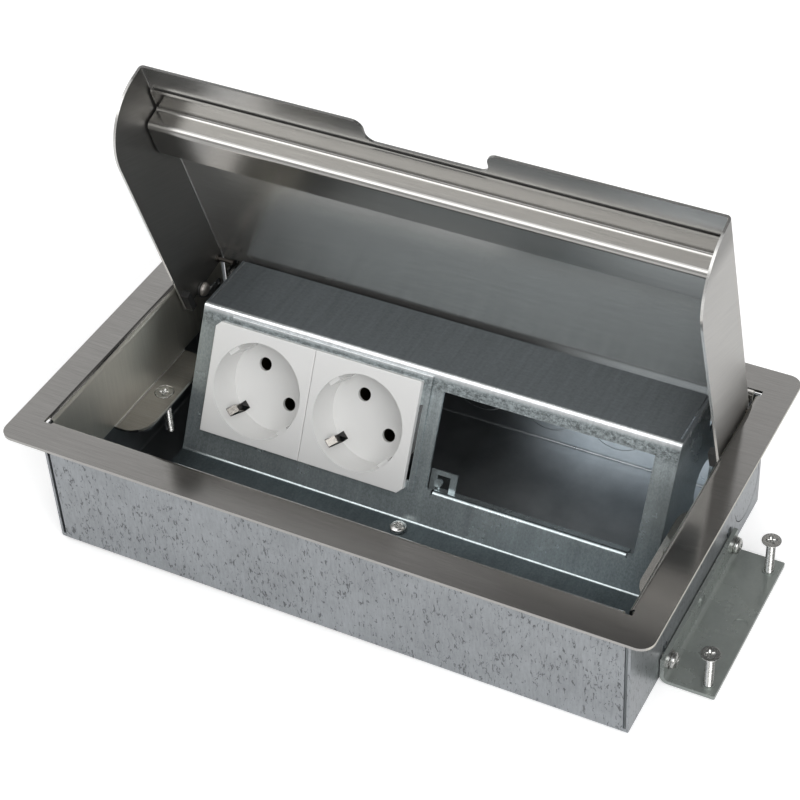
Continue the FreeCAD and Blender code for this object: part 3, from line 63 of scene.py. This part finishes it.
# ---------------------------------------------------------------- camera
# The view is set by where it looks from, how far off, and the point on the flange it aims at.
AZIMUTH = 27.84
ELEVATION = 41.97
ROLL = -2.38
DISTANCE = 0.79686
AIM = (0.02514, -0.00306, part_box("frame")[1][2])
SENSOR_MM = 36.0
FOCAL_PIXELS, PICTURE_PIXELS = 2157.3, 800
SHIFT = (-0.075, 0.0375)
NEAR, FAR = 0.01, 20.0


def make_camera():
    data = bpy.data.cameras.new("camera")
    data.lens = FOCAL_PIXELS / PICTURE_PIXELS * SENSOR_MM
    data.sensor_width = SENSOR_MM
    data.shift_x, data.shift_y = SHIFT
    data.clip_start, data.clip_end = NEAR, FAR
    camera = bpy.data.objects.new("camera", data)
    bpy.context.collection.objects.link(camera)
    a, e, r = (math.radians(v) for v in (AZIMUTH, ELEVATION, ROLL))
    back = Vector((math.sin(a) * math.cos(e), -math.cos(a) * math.cos(e), math.sin(e)))
    turn = (-back).to_track_quat("-Z", "Y").to_matrix().to_4x4()
    camera.matrix_world = (Matrix.Translation(Vector(AIM) + back * DISTANCE) @ turn
                           @ Matrix.Rotation(r, 4, "Z"))
    bpy.context.scene.camera = camera


# ---------------------------------------------------------------- shader nodes
# Each helper adds nodes to a tree and returns the output socket that carries its result.
# DARK and PALE are the levels of a noise pattern at which most ramps start and end.
DARK, PALE = 0.3, 0.7


def new_material(name):
    material = bpy.data.materials.new(name)
    material.use_nodes = True
    tree = material.node_tree
    return material, tree, tree.nodes["Principled BSDF"]


def fill(tree, node, inputs):
    """Link or set each input named, and return the node."""
    for name, value in inputs.items():
        if isinstance(value, bpy.types.NodeSocket):
            tree.links.new(value, node.inputs[name])
        else:
            node.inputs[name].default_value = value
    return node


def object_place(tree):
    """Object coordinates."""
    return tree.nodes.new("ShaderNodeTexCoord").outputs["Object"]


def stretched(tree, place, scale):
    """Coordinates scaled differently along each axis."""
    node = tree.nodes.new("ShaderNodeMapping")
    return fill(tree, node, {"Vector": place, "Scale": scale}).outputs["Vector"]


def tilted(tree, place, angle):
    """Coordinates turned about X, so that a stretch can follow a slanted sheet."""
    node = tree.nodes.new("ShaderNodeMapping")
    return fill(tree, node, {"Vector": place, "Rotation": (angle, 0, 0)}).outputs["Vector"]


def along_axis(tree, vector, axis):
    """One of the three numbers of a vector."""
    node = tree.nodes.new("ShaderNodeSeparateXYZ")
    return fill(tree, node, {"Vector": vector}).outputs[axis]


def noise(tree, place, scale, detail=2.0, rough=0.5, distortion=0.0):
    node = tree.nodes.new("ShaderNodeTexNoise")
    return fill(tree, node, {"Vector": place, "Scale": scale, "Detail": detail,
                             "Roughness": rough, "Distortion": distortion}).outputs["Fac"]


def calculate(tree, operation, first, second=0.0):
    """The result of a math node on a socket and a second socket or number."""
    node = tree.nodes.new("ShaderNodeMath")
    node.operation = operation
    return fill(tree, node, {0: first, 1: second}).outputs[0]


def map_range(tree, value, start, end, low=0.0, high=1.0, kind="LINEAR"):
    """Map start..end of a value to low..high, and hold it beyond both ends."""
    node = tree.nodes.new("ShaderNodeMapRange")
    node.interpolation_type = kind
    return fill(tree, node, {"Value": value, "From Min": start, "From Max": end,
                             "To Min": low, "To Max": high}).outputs["Result"]


def spread(tree, pattern, low, high):
    """Map a 0..1 pattern to a range of numbers."""
    return map_range(tree, pattern, 0.0, 1.0, low, high)


def either(tree, factor, first, second, kind="FLOAT"):
    """Two patterns, changed over by a factor."""
    node = tree.nodes.new("ShaderNodeMix")
    node.data_type = kind
    return fill(tree, node, {"Factor": factor, "A": first, "B": second}).outputs["Result"]


def either_colour(tree, factor, first, second):
    """Two colours, changed over by a factor."""
    return either(tree, factor, first, second, "RGBA")


def multiply(tree, first, second):
    """Two colours multiplied."""
    node = tree.nodes.new("ShaderNodeMix")
    node.data_type = "RGBA"
    node.blend_type = "MULTIPLY"
    return fill(tree, node, {"Factor": 1.0, "A": first, "B": second}).outputs["Result"]


def ramp(tree, factor, stops):
    """Colour ramp through grey levels or colours at the given places."""
    node = tree.nodes.new("ShaderNodeValToRGB")
    elements = node.color_ramp.elements
    while len(elements) < len(stops):
        elements.new(0.5)
    for element, (place, colour) in zip(elements, stops):
        element.position = place
        rgb = (colour,) * 3 if isinstance(colour, (int, float)) else colour
        element.color = (*rgb, 1.0)
    return fill(tree, node, {"Fac": factor}).outputs["Color"]


def mottled(tree, pattern, dark, pale):
    """A noise pattern between two grey levels or colours."""
    return ramp(tree, pattern, ((DARK, dark), (PALE, pale)))


def shaded(tree, tone, pattern, stops):
    """A colour multiplied with a ramp over a pattern."""
    return multiply(tree, tone, ramp(tree, pattern, stops))


def shade(colour, share):
    """A colour, darker or paler by a share."""
    return tuple(min(1.0, c * share) for c in colour)


def add_bump(tree, shader, height, strength, distance):
    node = tree.nodes.new("ShaderNodeBump")
    fill(tree, node, {"Height": height, "Strength": strength, "Distance": distance})
    tree.links.new(node.outputs["Normal"], shader.inputs["Normal"])


def sheet_normal(tree, axis):
    """How far a sheet faces along an axis, from -1 to 1."""
    return along_axis(tree, tree.nodes.new("ShaderNodeNewGeometry").outputs["True Normal"], axis)


def side_facing(tree):
    """1 on sheets that face along X, 0 on the others."""
    return map_range(tree, calculate(tree, "ABSOLUTE", sheet_normal(tree, "X")), 0.6, 0.8)


def level_facing(tree):
    """1 on sheets that face straight up, 0 on the others."""
    return map_range(tree, sheet_normal(tree, "Z"), 0.93, 0.99)


def lengthways(tree, half_length):
    """0 at the left end of the box, 1 at its right end."""
    place = along_axis(tree, object_place(tree), "X")
    return map_range(tree, place, -half_length, half_length)


def upwards(tree, reach):
    """0 at the lower height of a reach, 1 at its upper one."""
    return map_range(tree, along_axis(tree, object_place(tree), "Z"), *reach)


# ---------------------------------------------------------------- materials
# Reflections are partly painted: tones that change along the box or with the height stand in for
# surroundings that the photograph does not show.
OPEN_TILT = math.radians(90 - 72.4)     # the open lid's lean, from its joint's range
HALF_LENGTH = 0.12                      # half of the casing's length
HALF_SHEET = 0.0005                     # half of the casing's wall
LID_HEIGHT = tuple(corner[2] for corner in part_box("lid"))
CARRIER_HEIGHT = tuple(corner[2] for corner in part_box("carrier"))
CASING_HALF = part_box("casing")[1][:2]

# Scales of the brush marks: along X, then on the end walls of a slanted and of a level sheet.
FINE_BRUSH = ((70, 6500, 6500), (6500, 45, 6500), (6500, 6500, 70))
BROAD_BRUSH = ((12, 1100, 1100), (1100, 12, 1100), (1100, 1100, 14))


def brush_marks(tree, place, ends, scales, slanted, **settings):
    """Long noise along X, changed over to another direction on the end walls."""
    main, slanted_end, level_end = scales
    both = [noise(tree, stretched(tree, place, scale), 1.0, **settings)
            for scale in (main, slanted_end if slanted else level_end)]
    return either(tree, ends, *both)


def brushed_steel(name, colour, rough, tilt=0.0, end_reflection_colour=None, end_left=1.0, end_rough=0.10,
                  metal=1.0, top=None):
    """Stainless sheet brushed along X, and across the bend on its duller end walls.

    end_left is the share of the end walls' tone, a painted reflection, that is left at the left
    end as painted shade, metal how metallic the other walls are, and top the reach of heights
    whose upper end is darker as painted shade.
    """
    material, tree, shader = new_material(name)
    place = tilted(tree, object_place(tree), tilt)
    ends = side_facing(tree)
    fine = brush_marks(tree, place, ends, FINE_BRUSH, tilt, detail=3.0, rough=0.7)
    broad = brush_marks(tree, place, ends, BROAD_BRUSH, tilt, detail=2.0)
    drift = noise(tree, stretched(tree, place, (12, 18, 18)), 1.0)
    tone = mottled(tree, fine, shade(colour, 0.82), shade(colour, 1.14))
    # The end walls' tone is a painted reflection, and towards the left end it is darker as painted
    # shade.
    if end_reflection_colour:
        end_reflection = mottled(tree, fine, shade(end_reflection_colour, 0.85), end_reflection_colour)
        end_reflection = shaded(tree, end_reflection, lengthways(tree, HALF_LENGTH),
                          ((0.3, end_left), (0.6, 1.0)))
        tone = either_colour(tree, ends, tone, end_reflection)
    # Painted shade: the tone darkens towards the upper end of the reach of heights.
    if top:
        tone = shaded(tree, tone, upwards(tree, top), ((0.86, 1.0), (0.93, 0.64)))
    for pattern, dark in ((broad, 0.95), (drift, 0.94)):
        tone = shaded(tree, tone, pattern, ((DARK, dark), (PALE, 1.0)))
    tree.links.new(tone, shader.inputs["Base Color"])
    if metal < 1.0:
        tree.links.new(spread(tree, ends, metal, 1.0), shader.inputs["Metallic"])
    else:
        shader.inputs["Metallic"].default_value = 1.0
    plain = spread(tree, broad, rough - 0.02, rough + 0.03)
    dull = spread(tree, broad, rough + end_rough - 0.04, rough + end_rough + 0.06)
    tree.links.new(either(tree, ends, plain, dull), shader.inputs["Roughness"])
    add_bump(tree, shader, fine, 0.15, 0.00001)
    return material


def pitted(tree, tone, darkness):
    """A tone with small dark pits gathered in patches and with faint trails; also the pits."""
    place = object_place(tree)
    pits = noise(tree, stretched(tree, place, (900, 900, 330)), 1.0, 4.0, 0.68, 0.7)
    patches = noise(tree, place, 30.0)
    gathered = calculate(tree, "ADD", calculate(tree, "MULTIPLY", patches, 0.12), pits)
    gathered = calculate(tree, "SUBTRACT", gathered, 0.05)
    tone = shaded(tree, tone, gathered, ((0.385, 1.0 - darkness), (0.43, 1.0)))
    trails = noise(tree, stretched(tree, place, (1300, 1300, 200)), 1.0, 4.0, 0.7)
    return shaded(tree, tone, trails, ((0.35, 0.86), (0.6, 1.0))), gathered


def fold_band_and_highlight(tree, tone, reach):
    """A dark blotchy band under a folded edge, and a painted highlight on the edge itself."""
    height = upwards(tree, reach)
    blotch = noise(tree, stretched(tree, object_place(tree), (520, 900, 900)), 1.0, 5.0, 0.8)
    band = ramp(tree, height, ((0.84, 0.0), (0.90, 1.0), (0.945, 1.0), (0.965, 0.0)))
    dark_band = shaded(tree, tone, blotch, ((0.40, 0.35), (0.60, 1.0)))
    tone = either_colour(tree, band, tone, dark_band)
    # The pale edge is a painted highlight where the fold catches the light.
    edge = ramp(tree, height, ((0.955, 0.0), (0.975, 1.0)))
    painted_light = ramp(tree, blotch, ((0.3, (0.70, 0.74, 0.76)), (0.6, (0.93, 0.95, 0.96))))
    return either_colour(tree, edge, tone, painted_light)


def within(tree, half):
    """1 inside the upright walls whose outer faces lie half a length and half a width off."""
    tests = []
    for axis, limit in zip("XY", half):
        size = calculate(tree, "ABSOLUTE", along_axis(tree, object_place(tree), axis))
        tests.append(calculate(tree, "LESS_THAN", size, limit - HALF_SHEET))
    return calculate(tree, "MULTIPLY", *tests)


def painted_light_inside(tree, tone, cloud, half):
    """Unpitted zinc inside the walls, paler as painted light, and darker towards the left end as
    painted shadow.
    """
    # Inside the walls the zinc is paler as painted light, and darker towards the left end as
    # painted shadow.
    painted_light = mottled(tree, cloud, (0.46, 0.50, 0.53), (0.62, 0.66, 0.69))
    painted_light = shaded(tree, painted_light, lengthways(tree, half[0]), ((0.52, 0.34), (0.70, 1.0)))
    return either_colour(tree, within(tree, half), tone, painted_light)


def galvanized(name, colour, rough, metal=0.9, pits=0.0, speckle=0.0, streaks=0.0, fold=None,
               drift=None, level=1.0, level_rough=0.0, inside=None):
    """Zinc-coated sheet: a soft cloud and a fine mottle, with what the options add.

    pits, speckle and streaks say how dark each pattern gets. fold is the reach of heights whose
    upper end gets a dark blotchy band and a painted highlight on the fold, drift the painted shade
    from the left end to the right one, level the tone of level sheets, darkened as painted shade,
    and level_rough their added roughness, inside the half sizes of the walls, within which the
    zinc is paler as painted light and darker towards the left end as painted shadow.
    """
    material, tree, shader = new_material(name)
    place = object_place(tree)
    cloud = noise(tree, place, 55.0, 5.0, 0.62)
    mottle = noise(tree, stretched(tree, place, (900, 900, 500)), 1.0, 3.0, 0.6)
    tone = mottled(tree, cloud, shade(colour, 0.88), shade(colour, 1.06))
    tone = shaded(tree, tone, mottle, ((DARK, 0.93), (PALE, 1.0)))
    height, bump = mottle, 0.12
    if pits:
        tone, height = pitted(tree, tone, pits)
        bump = 0.2
    if speckle:
        grains = noise(tree, stretched(tree, place, (1500, 1500, 700)), 1.0, 3.0, 0.75)
        tone = shaded(tree, tone, grains, ((0.36, 1.0 - speckle), (0.62, 1.0)))
    if fold:
        tone = fold_band_and_highlight(tree, tone, fold)
    # Painted shade along the box: the tone changes from the left end to the right one.
    if drift:
        tone = shaded(tree, tone, lengthways(tree, HALF_LENGTH), drift)
    # Painted shade: level sheets are darker and cooler.
    if level < 1.0:
        level_shade = (level * 0.92, level, level * 1.05)
        tone = shaded(tree, tone, level_facing(tree), ((0.0, 1.0), (1.0, level_shade)))
    if streaks:
        runs = noise(tree, stretched(tree, place, (420, 30, 18)), 1.0, 4.0, 0.65)
        tone = shaded(tree, tone, runs, ((DARK, 1.0 - streaks), (PALE, 1.0)))
    if inside:
        tone = painted_light_inside(tree, tone, cloud, inside)
    tree.links.new(tone, shader.inputs["Base Color"])
    shader.inputs["Metallic"].default_value = metal
    skin = spread(tree, cloud, rough - 0.08, rough + 0.1)
    if level_rough:
        matt = spread(tree, cloud, rough + level_rough - 0.05, rough + level_rough + 0.1)
        skin = either(tree, level_facing(tree), skin, matt)
    tree.links.new(skin, shader.inputs["Roughness"])
    add_bump(tree, shader, height, bump, 0.0001)
    return material


def plastic(name, colour, rough):
    """Moulded plastic with a very fine skin and a slight change of tone."""
    material, tree, shader = new_material(name)
    place = object_place(tree)
    drift = noise(tree, place, 60.0)
    tree.links.new(mottled(tree, drift, shade(colour, 0.97), colour), shader.inputs["Base Color"])
    tree.links.new(spread(tree, drift, rough - 0.03, rough + 0.05), shader.inputs["Roughness"])
    add_bump(tree, shader, noise(tree, place, 2500.0), 0.08, 0.00005)
    return material


def plated(name, colour, rough):
    """Small metal parts with a fine mottle."""
    material, tree, shader = new_material(name)
    mottle = noise(tree, object_place(tree), 700.0, 3.0)
    tree.links.new(mottled(tree, mottle, shade(colour, 0.82), colour), shader.inputs["Base Color"])
    shader.inputs["Metallic"].default_value = 1.0
    tree.links.new(spread(tree, mottle, rough - 0.06, rough + 0.1), shader.inputs["Roughness"])
    add_bump(tree, shader, mottle, 0.1, 0.00005)
    return material


# The end walls' tones below are painted reflections; the lid's top and the left end of its end
# walls are darker as painted shade.
STAINLESS = brushed_steel("stainless", (0.51, 0.497, 0.48), 0.135,
                          end_reflection_colour=(0.72, 0.70, 0.63), end_rough=0.285)
LID_STEEL = brushed_steel("stainless_lid", (0.73, 0.725, 0.705), 0.24, OPEN_TILT,
                          end_reflection_colour=(0.62, 0.61, 0.59), end_left=0.46, end_rough=0.20,
                          metal=0.90, top=LID_HEIGHT)
BRACE_STEEL = brushed_steel("stainless_brace", (0.46, 0.452, 0.435), 0.22, OPEN_TILT)
# The casing is paler inside its walls as painted light, and darker there towards the left end as
# painted shadow.
CASING = galvanized("galvanized_casing", (0.42, 0.44, 0.46), 0.30, pits=0.58, inside=CASING_HALF)
# The carrier is darker at both ends and on its level sheets as painted shade, with a dark blotchy
# band and a painted highlight at its top fold.
CARRIER = galvanized("galvanized_carrier", (0.66, 0.74, 0.76), 0.24, metal=0.72, speckle=0.30,
                     streaks=0.20, fold=CARRIER_HEIGHT, level=0.24, level_rough=0.18,
                     drift=((0.1, 0.88), (0.6, 1.0), (0.86, 1.0), (0.93, 0.74)))
BRACKET = galvanized("galvanized_bracket", (0.36, 0.39, 0.37), 0.26, metal=0.6)
WHITE = plastic("white_plastic", (0.84, 0.84, 0.83), 0.22)
GREY = plastic("grey_plastic", (0.06, 0.06, 0.06), 0.5)
BLACK = plastic("black_plastic", (0.02, 0.02, 0.02), 0.45)
ZINC = plated("zinc", (0.62, 0.62, 0.60), 0.24)
RIVET = plated("rivet_steel", (0.50, 0.47, 0.44), 0.5)
WASHER = plated("washer_steel", (0.10, 0.10, 0.10), 0.5)
PIN = plated("pin_steel", (0.13, 0.12, 0.11), 0.4)
# Near-black brass: the contact sleeves stand for the black shutters in the socket holes, and are
# darkened as painted shade deep in the holes.
BRASS_IN_PAINTED_SHADE = plated("brass", (0.06, 0.05, 0.03), 0.5)
CLIP = plated("clip_steel", (0.42, 0.40, 0.37), 0.22)

BY_SLOT = {"stainless": STAINLESS, "galvanized": CASING, "zinc": ZINC, "white_plastic": WHITE,
           "grey_plastic": GREY, "black_plastic": BLACK, "brass": BRASS_IN_PAINTED_SHADE, "clip_steel": CLIP}
BY_NODE = {"carrier": CARRIER, "lid": LID_STEEL, "lid_brace": BRACE_STEEL, "stay_rivets": RIVET,
           "hinge_pins": PIN, "bracket_left": BRACKET, "bracket_right": BRACKET}


def paint_nodes():
    slots = {part["node"]: part["material_slot"] for part in frame["record"]["subparts"]}
    for node, item in frame["nodes"].items():
        material = BY_NODE.get(node, BY_SLOT[slots[node]])
        item.data.materials.clear()
        item.data.materials.append(material)


# ---------------------------------------------------------------- screws and rivets
ROUND = 48              # points in each ring
HEAD_RINGS = 16         # rings from a screw head's middle to its edge
DOME_RINGS = 12
THREAD_ROWS = 8         # rings for each turn of a thread

M4_SHANK, LEVELLING_SHANK = 0.002, 0.0018
PITCH, THREAD_DEPTH = 0.0007, 0.00035
SUNK_HEAD, PAN_HEAD = 0.0021, 0.0026    # heights of the heads
FOOT_TOP = 0.0022                       # height at which the carrier screw's head sits
PLAIN_TURN, BRACKET_TURN = 0.3, 0.5     # how far the cross recesses are turned

# The cross's reach and width are shares of the head's radius, its depth of the head's height.
CROSS_REACH, CROSS_WIDTH, CROSS_DEPTH = 0.56, 0.15, 0.55
# A pan head's edge lies lower than its middle by a share of its height, along a power curve.
CROWN_DROP, CROWN_POWER = 0.42, 3.2

RIVET_LENGTH, DOME_HEIGHT, WASHER_HEIGHT = 0.0045, 0.0024, 0.0009
DOME_SHARE, RIVET_SHANK_SHARE = 0.88, 0.57      # of the washer's radius


def ring_mesh(name, rings, material):
    """A mesh through rings of points, closed by a point at each end."""
    mesh = bpy.data.meshes.new(name)
    points = [p for ring in rings for p in ring]
    faces = []
    start = 0
    for first, second in zip(rings, rings[1:]):
        after = start + len(first)
        for i in range(ROUND):
            j = (i + 1) % ROUND
            if len(first) == 1:
                faces.append((start, after + i, after + j))
            elif len(second) == 1:
                faces.append((start + i, after, start + j))
            else:
                faces.append((start + i, after + i, after + j, start + j))
        start = after
    mesh.from_pydata(points, [], faces)
    mesh.update()
    mesh.shade_smooth()
    mesh.materials.append(material)
    return mesh


def ring_angles(turn):
    return [2 * math.pi * i / ROUND + turn for i in range(ROUND)]


def circle_points(radius, height, turn=0.0):
    return [(radius * math.cos(angle), radius * math.sin(angle), height)
            for angle in ring_angles(turn)]


def thread_radius(radius, height, angle):
    """Radius of a rolled thread at a height and an angle."""
    phase = (height / PITCH - angle / (2 * math.pi)) % 1.0
    return radius - THREAD_DEPTH * (1.0 - abs(2.0 * phase - 1.0))


def cross_depth(x, y, reach, width):
    """How deep a cross recess lies under the head's top at a point, from 0 to 1."""
    far, close = max(abs(x), abs(y)), min(abs(x), abs(y))
    side = min(1.0, max(0.0, (width - close) / (0.35 * width)))
    end = min(1.0, max(0.0, (reach - far) / (0.45 * reach)))
    return side * end


def head_rings(head, height, sunk, turn):
    """The top of a flat sunk head or of a crowned pan head, with its cross recess."""
    top = 0.0 if sunk else height
    deep = height * CROSS_DEPTH
    rings = [[(0.0, 0.0, top - deep)]]
    for k in range(1, HEAD_RINGS + 1):
        radius = head * k / HEAD_RINGS * (1.0 if sunk else 0.97)
        crown = 0.0 if sunk else height * CROWN_DROP * (radius / head) ** CROWN_POWER
        ring = []
        for angle in ring_angles(turn):
            u, v = radius * math.cos(angle - turn), radius * math.sin(angle - turn)
            drop = deep * cross_depth(u, v, head * CROSS_REACH, head * CROSS_WIDTH)
            ring.append((radius * math.cos(angle), radius * math.sin(angle), top - crown - drop))
        rings.append(ring)
    return rings


def screw_mesh(name, head, height, shank, length, sunk=False, turn=PLAIN_TURN):
    """A cross-recessed screw along Z: its head's top at z = 0, or for a pan head its seat."""
    rings = head_rings(head, height, sunk, turn)
    if sunk:
        start = -height
        side = ((head, -0.06 * height), (shank * 0.92, start))
    else:
        start = 0.0
        side = ((head, height * 0.45), (head, start), (shank * 0.92, start))
    rings += [circle_points(radius, z, turn) for radius, z in side]
    rows = int((length + start) / PITCH * THREAD_ROWS)
    end = -length
    for k in range(1, rows):
        z = start + (end - start) * k / rows
        ring = []
        for angle in ring_angles(turn):
            radius = thread_radius(shank, z, angle)
            ring.append((radius * math.cos(angle), radius * math.sin(angle), z))
        rings.append(ring)
    rings += [circle_points(shank * 0.7, end, turn), [(0.0, 0.0, end)]]
    return ring_mesh(name, rings, ZINC)


def set_piece(name, mesh, place, axis, body, node):
    """Stand a piece on its seat with its local Z along an axis, and let it ride on a body."""
    piece = bpy.data.objects.new(name, mesh)
    bpy.context.collection.objects.link(piece)
    turn = Vector(axis).to_track_quat("Z", "Y").to_matrix().to_4x4()
    piece.matrix_world = Matrix.Translation(Vector(place)) @ turn
    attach(piece, body)
    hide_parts(node)


def middle(low, high, axis):
    return (low[axis] + high[axis]) / 2


def half_size(low, high, axis):
    return (high[axis] - low[axis]) / 2


def make_screws():
    low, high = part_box("carrier_screw")
    mesh = screw_mesh("carrier_screw_threads", half_size(low, high, 0), high[2] - FOOT_TOP,
                      M4_SHANK, FOOT_TOP - low[2])
    set_piece("carrier_screw_piece", mesh, (middle(low, high, 0), middle(low, high, 1), FOOT_TOP),
              (0, 0, 1), "base", "carrier_screw")

    low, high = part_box("frame_screws")
    head = half_size(low, high, 1)
    for side, x in (("left", low[0] + head), ("right", high[0] - head)):
        mesh = screw_mesh("frame_screw_" + side, head, SUNK_HEAD, M4_SHANK, high[2] - low[2],
                          sunk=True)
        set_piece("frame_screw_piece_" + side, mesh, (x, 0, high[2]), (0, 0, 1), "base",
                  "frame_screws")

    for side, sign in (("right", 1), ("left", -1)):
        node = "bracket_%s_screws" % side
        low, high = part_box(node)
        head = half_size(low, high, 2)
        outer, inner = (high[0], low[0]) if sign > 0 else (low[0], high[0])
        seat = outer - sign * PAN_HEAD
        for name, y in (("front", low[1] + head), ("rear", high[1] - head)):
            mesh = screw_mesh("%s_%s" % (node, name), head, PAN_HEAD, M4_SHANK, abs(seat - inner),
                              turn=BRACKET_TURN)
            set_piece("%s_piece_%s" % (node, name), mesh, (seat, y, middle(low, high, 2)),
                      (sign, 0, 0), "bracket_" + side, node)
        for name in ("front", "rear"):
            node = "levelling_screw_%s_%s" % (side, name)
            low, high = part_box(node)
            mesh = screw_mesh(node + "_threads", half_size(low, high, 0), SUNK_HEAD,
                              LEVELLING_SHANK, high[2] - low[2], sunk=True, turn=BRACKET_TURN)
            set_piece(node + "_piece", mesh,
                      (middle(low, high, 0), middle(low, high, 1), high[2]), (0, 0, 1), node, node)


def dome_rings(radius, height):
    """A domed rivet head along Z from its seat."""
    rings = [[(0.0, 0.0, height)]]
    for k in range(1, DOME_RINGS + 1):
        angle = math.pi / 2 * k / DOME_RINGS
        rings.append(circle_points(radius * math.sin(angle),
                                   height * (0.12 + 0.88 * math.cos(angle))))
    return rings + [circle_points(radius * 0.97, height * 0.06),
                    circle_points(radius * 0.86, 0.0), [(0.0, 0.0, 0.0)]]


def washer_rings(radius, thick, shank, length):
    """A washer with eased edges and the shank behind it, along Z below its top."""
    profile = ((radius * 0.95, 0.0), (radius, -0.15 * thick), (radius, -0.85 * thick),
               (radius * 0.95, -thick), (shank, -thick), (shank, 0.0001 - length),
               (shank * 0.95, -length))
    rings = [circle_points(r, z) for r, z in profile]
    return [[(0.0, 0.0, 0.0)]] + rings + [[(0.0, 0.0, -length)]]


def make_rivets():
    low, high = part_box("stay_rivets")
    radius = half_size(low, high, 1)
    for side, outer, sign in (("left", low[0], -1), ("right", high[0], 1)):
        place = (outer - sign * RIVET_LENGTH, middle(low, high, 1), middle(low, high, 2))
        dome = dome_rings(radius * DOME_SHARE, DOME_HEIGHT)
        washer = washer_rings(radius, WASHER_HEIGHT, radius * RIVET_SHANK_SHARE, RIVET_LENGTH)
        for name, rings, material in (("head", dome, RIVET), ("washer", washer, WASHER)):
            mesh = ring_mesh("stay_rivet_%s_%s" % (name, side), rings, material)
            set_piece("stay_rivet_%s_piece_%s" % (name, side), mesh, place, (-sign, 0, 0),
                      "lid", "stay_rivets")


# ---------------------------------------------------------------- floor and light
FLOOR_SIDE, FLOOR_GAP = 8.0, 0.0004
FLOOR_GLOW = 0.33       # for the camera only: keeps the floor white beyond the lamp's light

CAMERA_LEVEL, DIFFUSE_LEVEL = 1.0, 0.75
# What gloss sees, by direction. Each edge is where a soft step starts and where it ends.
BACKDROP_LEVELS, BACKDROP_TOP = (0.57, 0.05), (0.665, 0.755)
RIGHT_LEVELS, RIGHT_EDGE = (1.0, 0.3), (0.05, 0.30)
BOX_BOTTOM = (0.40, 0.60)
BOX_SIDES = (("X", -0.85, -0.60), ("X", 0.15, -0.05))
SOFT_BOXES = ((1.3, (("Y", -0.35, -0.22), ("Y", 0.24, 0.10))),
              (2.9, (("Y", -0.85, -0.62), ("Y", -0.22, -0.35))))


def make_floor():
    bpy.ops.mesh.primitive_plane_add(size=FLOOR_SIDE, location=(0, 0, cad_box[0][2] - FLOOR_GAP))
    floor = bpy.context.object
    floor.name = "floor"
    material, tree, shader = new_material("floor")
    fill(tree, shader, {"Base Color": (0.9, 0.9, 0.9, 1), "Roughness": 1.0,
                        "Specular IOR Level": 0.0, "Emission Color": (1, 1, 1, 1)})
    path = tree.nodes.new("ShaderNodeLightPath")
    glow = spread(tree, path.outputs["Is Camera Ray"], 0.0, FLOOR_GLOW)
    tree.links.new(glow, shader.inputs["Emission Strength"])
    floor.data.materials.append(material)


def soft_step(tree, value, edge, levels):
    return map_range(tree, value, *edge, *levels, kind="SMOOTHSTEP")


def make_world():
    """A white studio. Gloss sees a backdrop that is pale low down and to the left, and two soft
    boxes overhead, the brighter one towards the front."""
    world = bpy.data.worlds.new("world")
    bpy.context.scene.world = world
    world.use_nodes = True
    tree = world.node_tree
    background = tree.nodes["Background"]
    background.inputs["Color"].default_value = (1, 1, 1, 1)
    path = tree.nodes.new("ShaderNodeLightPath")
    place = tree.nodes.new("ShaderNodeTexCoord")
    way = {axis: along_axis(tree, place.outputs["Generated"], axis) for axis in "XYZ"}
    gloss = calculate(tree, "MULTIPLY", soft_step(tree, way["Z"], BACKDROP_TOP, BACKDROP_LEVELS),
                      soft_step(tree, way["X"], RIGHT_EDGE, RIGHT_LEVELS))
    for level, ends in SOFT_BOXES:
        box = soft_step(tree, way["Z"], BOX_BOTTOM, (0.0, level))
        for axis, start, end in BOX_SIDES + ends:
            box = calculate(tree, "MULTIPLY", box,
                            soft_step(tree, way[axis], (start, end), (0.0, 1.0)))
        gloss = calculate(tree, "ADD", gloss, box)
    shiny = calculate(tree, "MAXIMUM", path.outputs["Is Glossy Ray"],
                      path.outputs["Is Transmission Ray"])
    level = either(tree, shiny, DIFFUSE_LEVEL, gloss)
    level = either(tree, path.outputs["Is Camera Ray"], level, CAMERA_LEVEL)
    tree.links.new(level, background.inputs["Strength"])


def make_light(name, place, aim, size, power):
    data = bpy.data.lights.new(name, "AREA")
    data.shape = "RECTANGLE"
    data.size, data.size_y = size
    data.energy = power
    lamp = bpy.data.objects.new(name, data)
    bpy.context.collection.objects.link(lamp)
    lamp.location = place
    lamp.rotation_mode = "QUATERNION"
    lamp.rotation_quaternion = (Vector(aim) - Vector(place)).to_track_quat("-Z", "Y")


paint_nodes()
make_screws()
make_rivets()
make_camera()
make_floor()
make_world()
make_light("key", place=(0.95, -1.0, 1.0), aim=(0, 0, 0.05), size=(1.0, 1.0), power=14.0)

bpy.context.scene.view_settings.view_transform = "Standard"
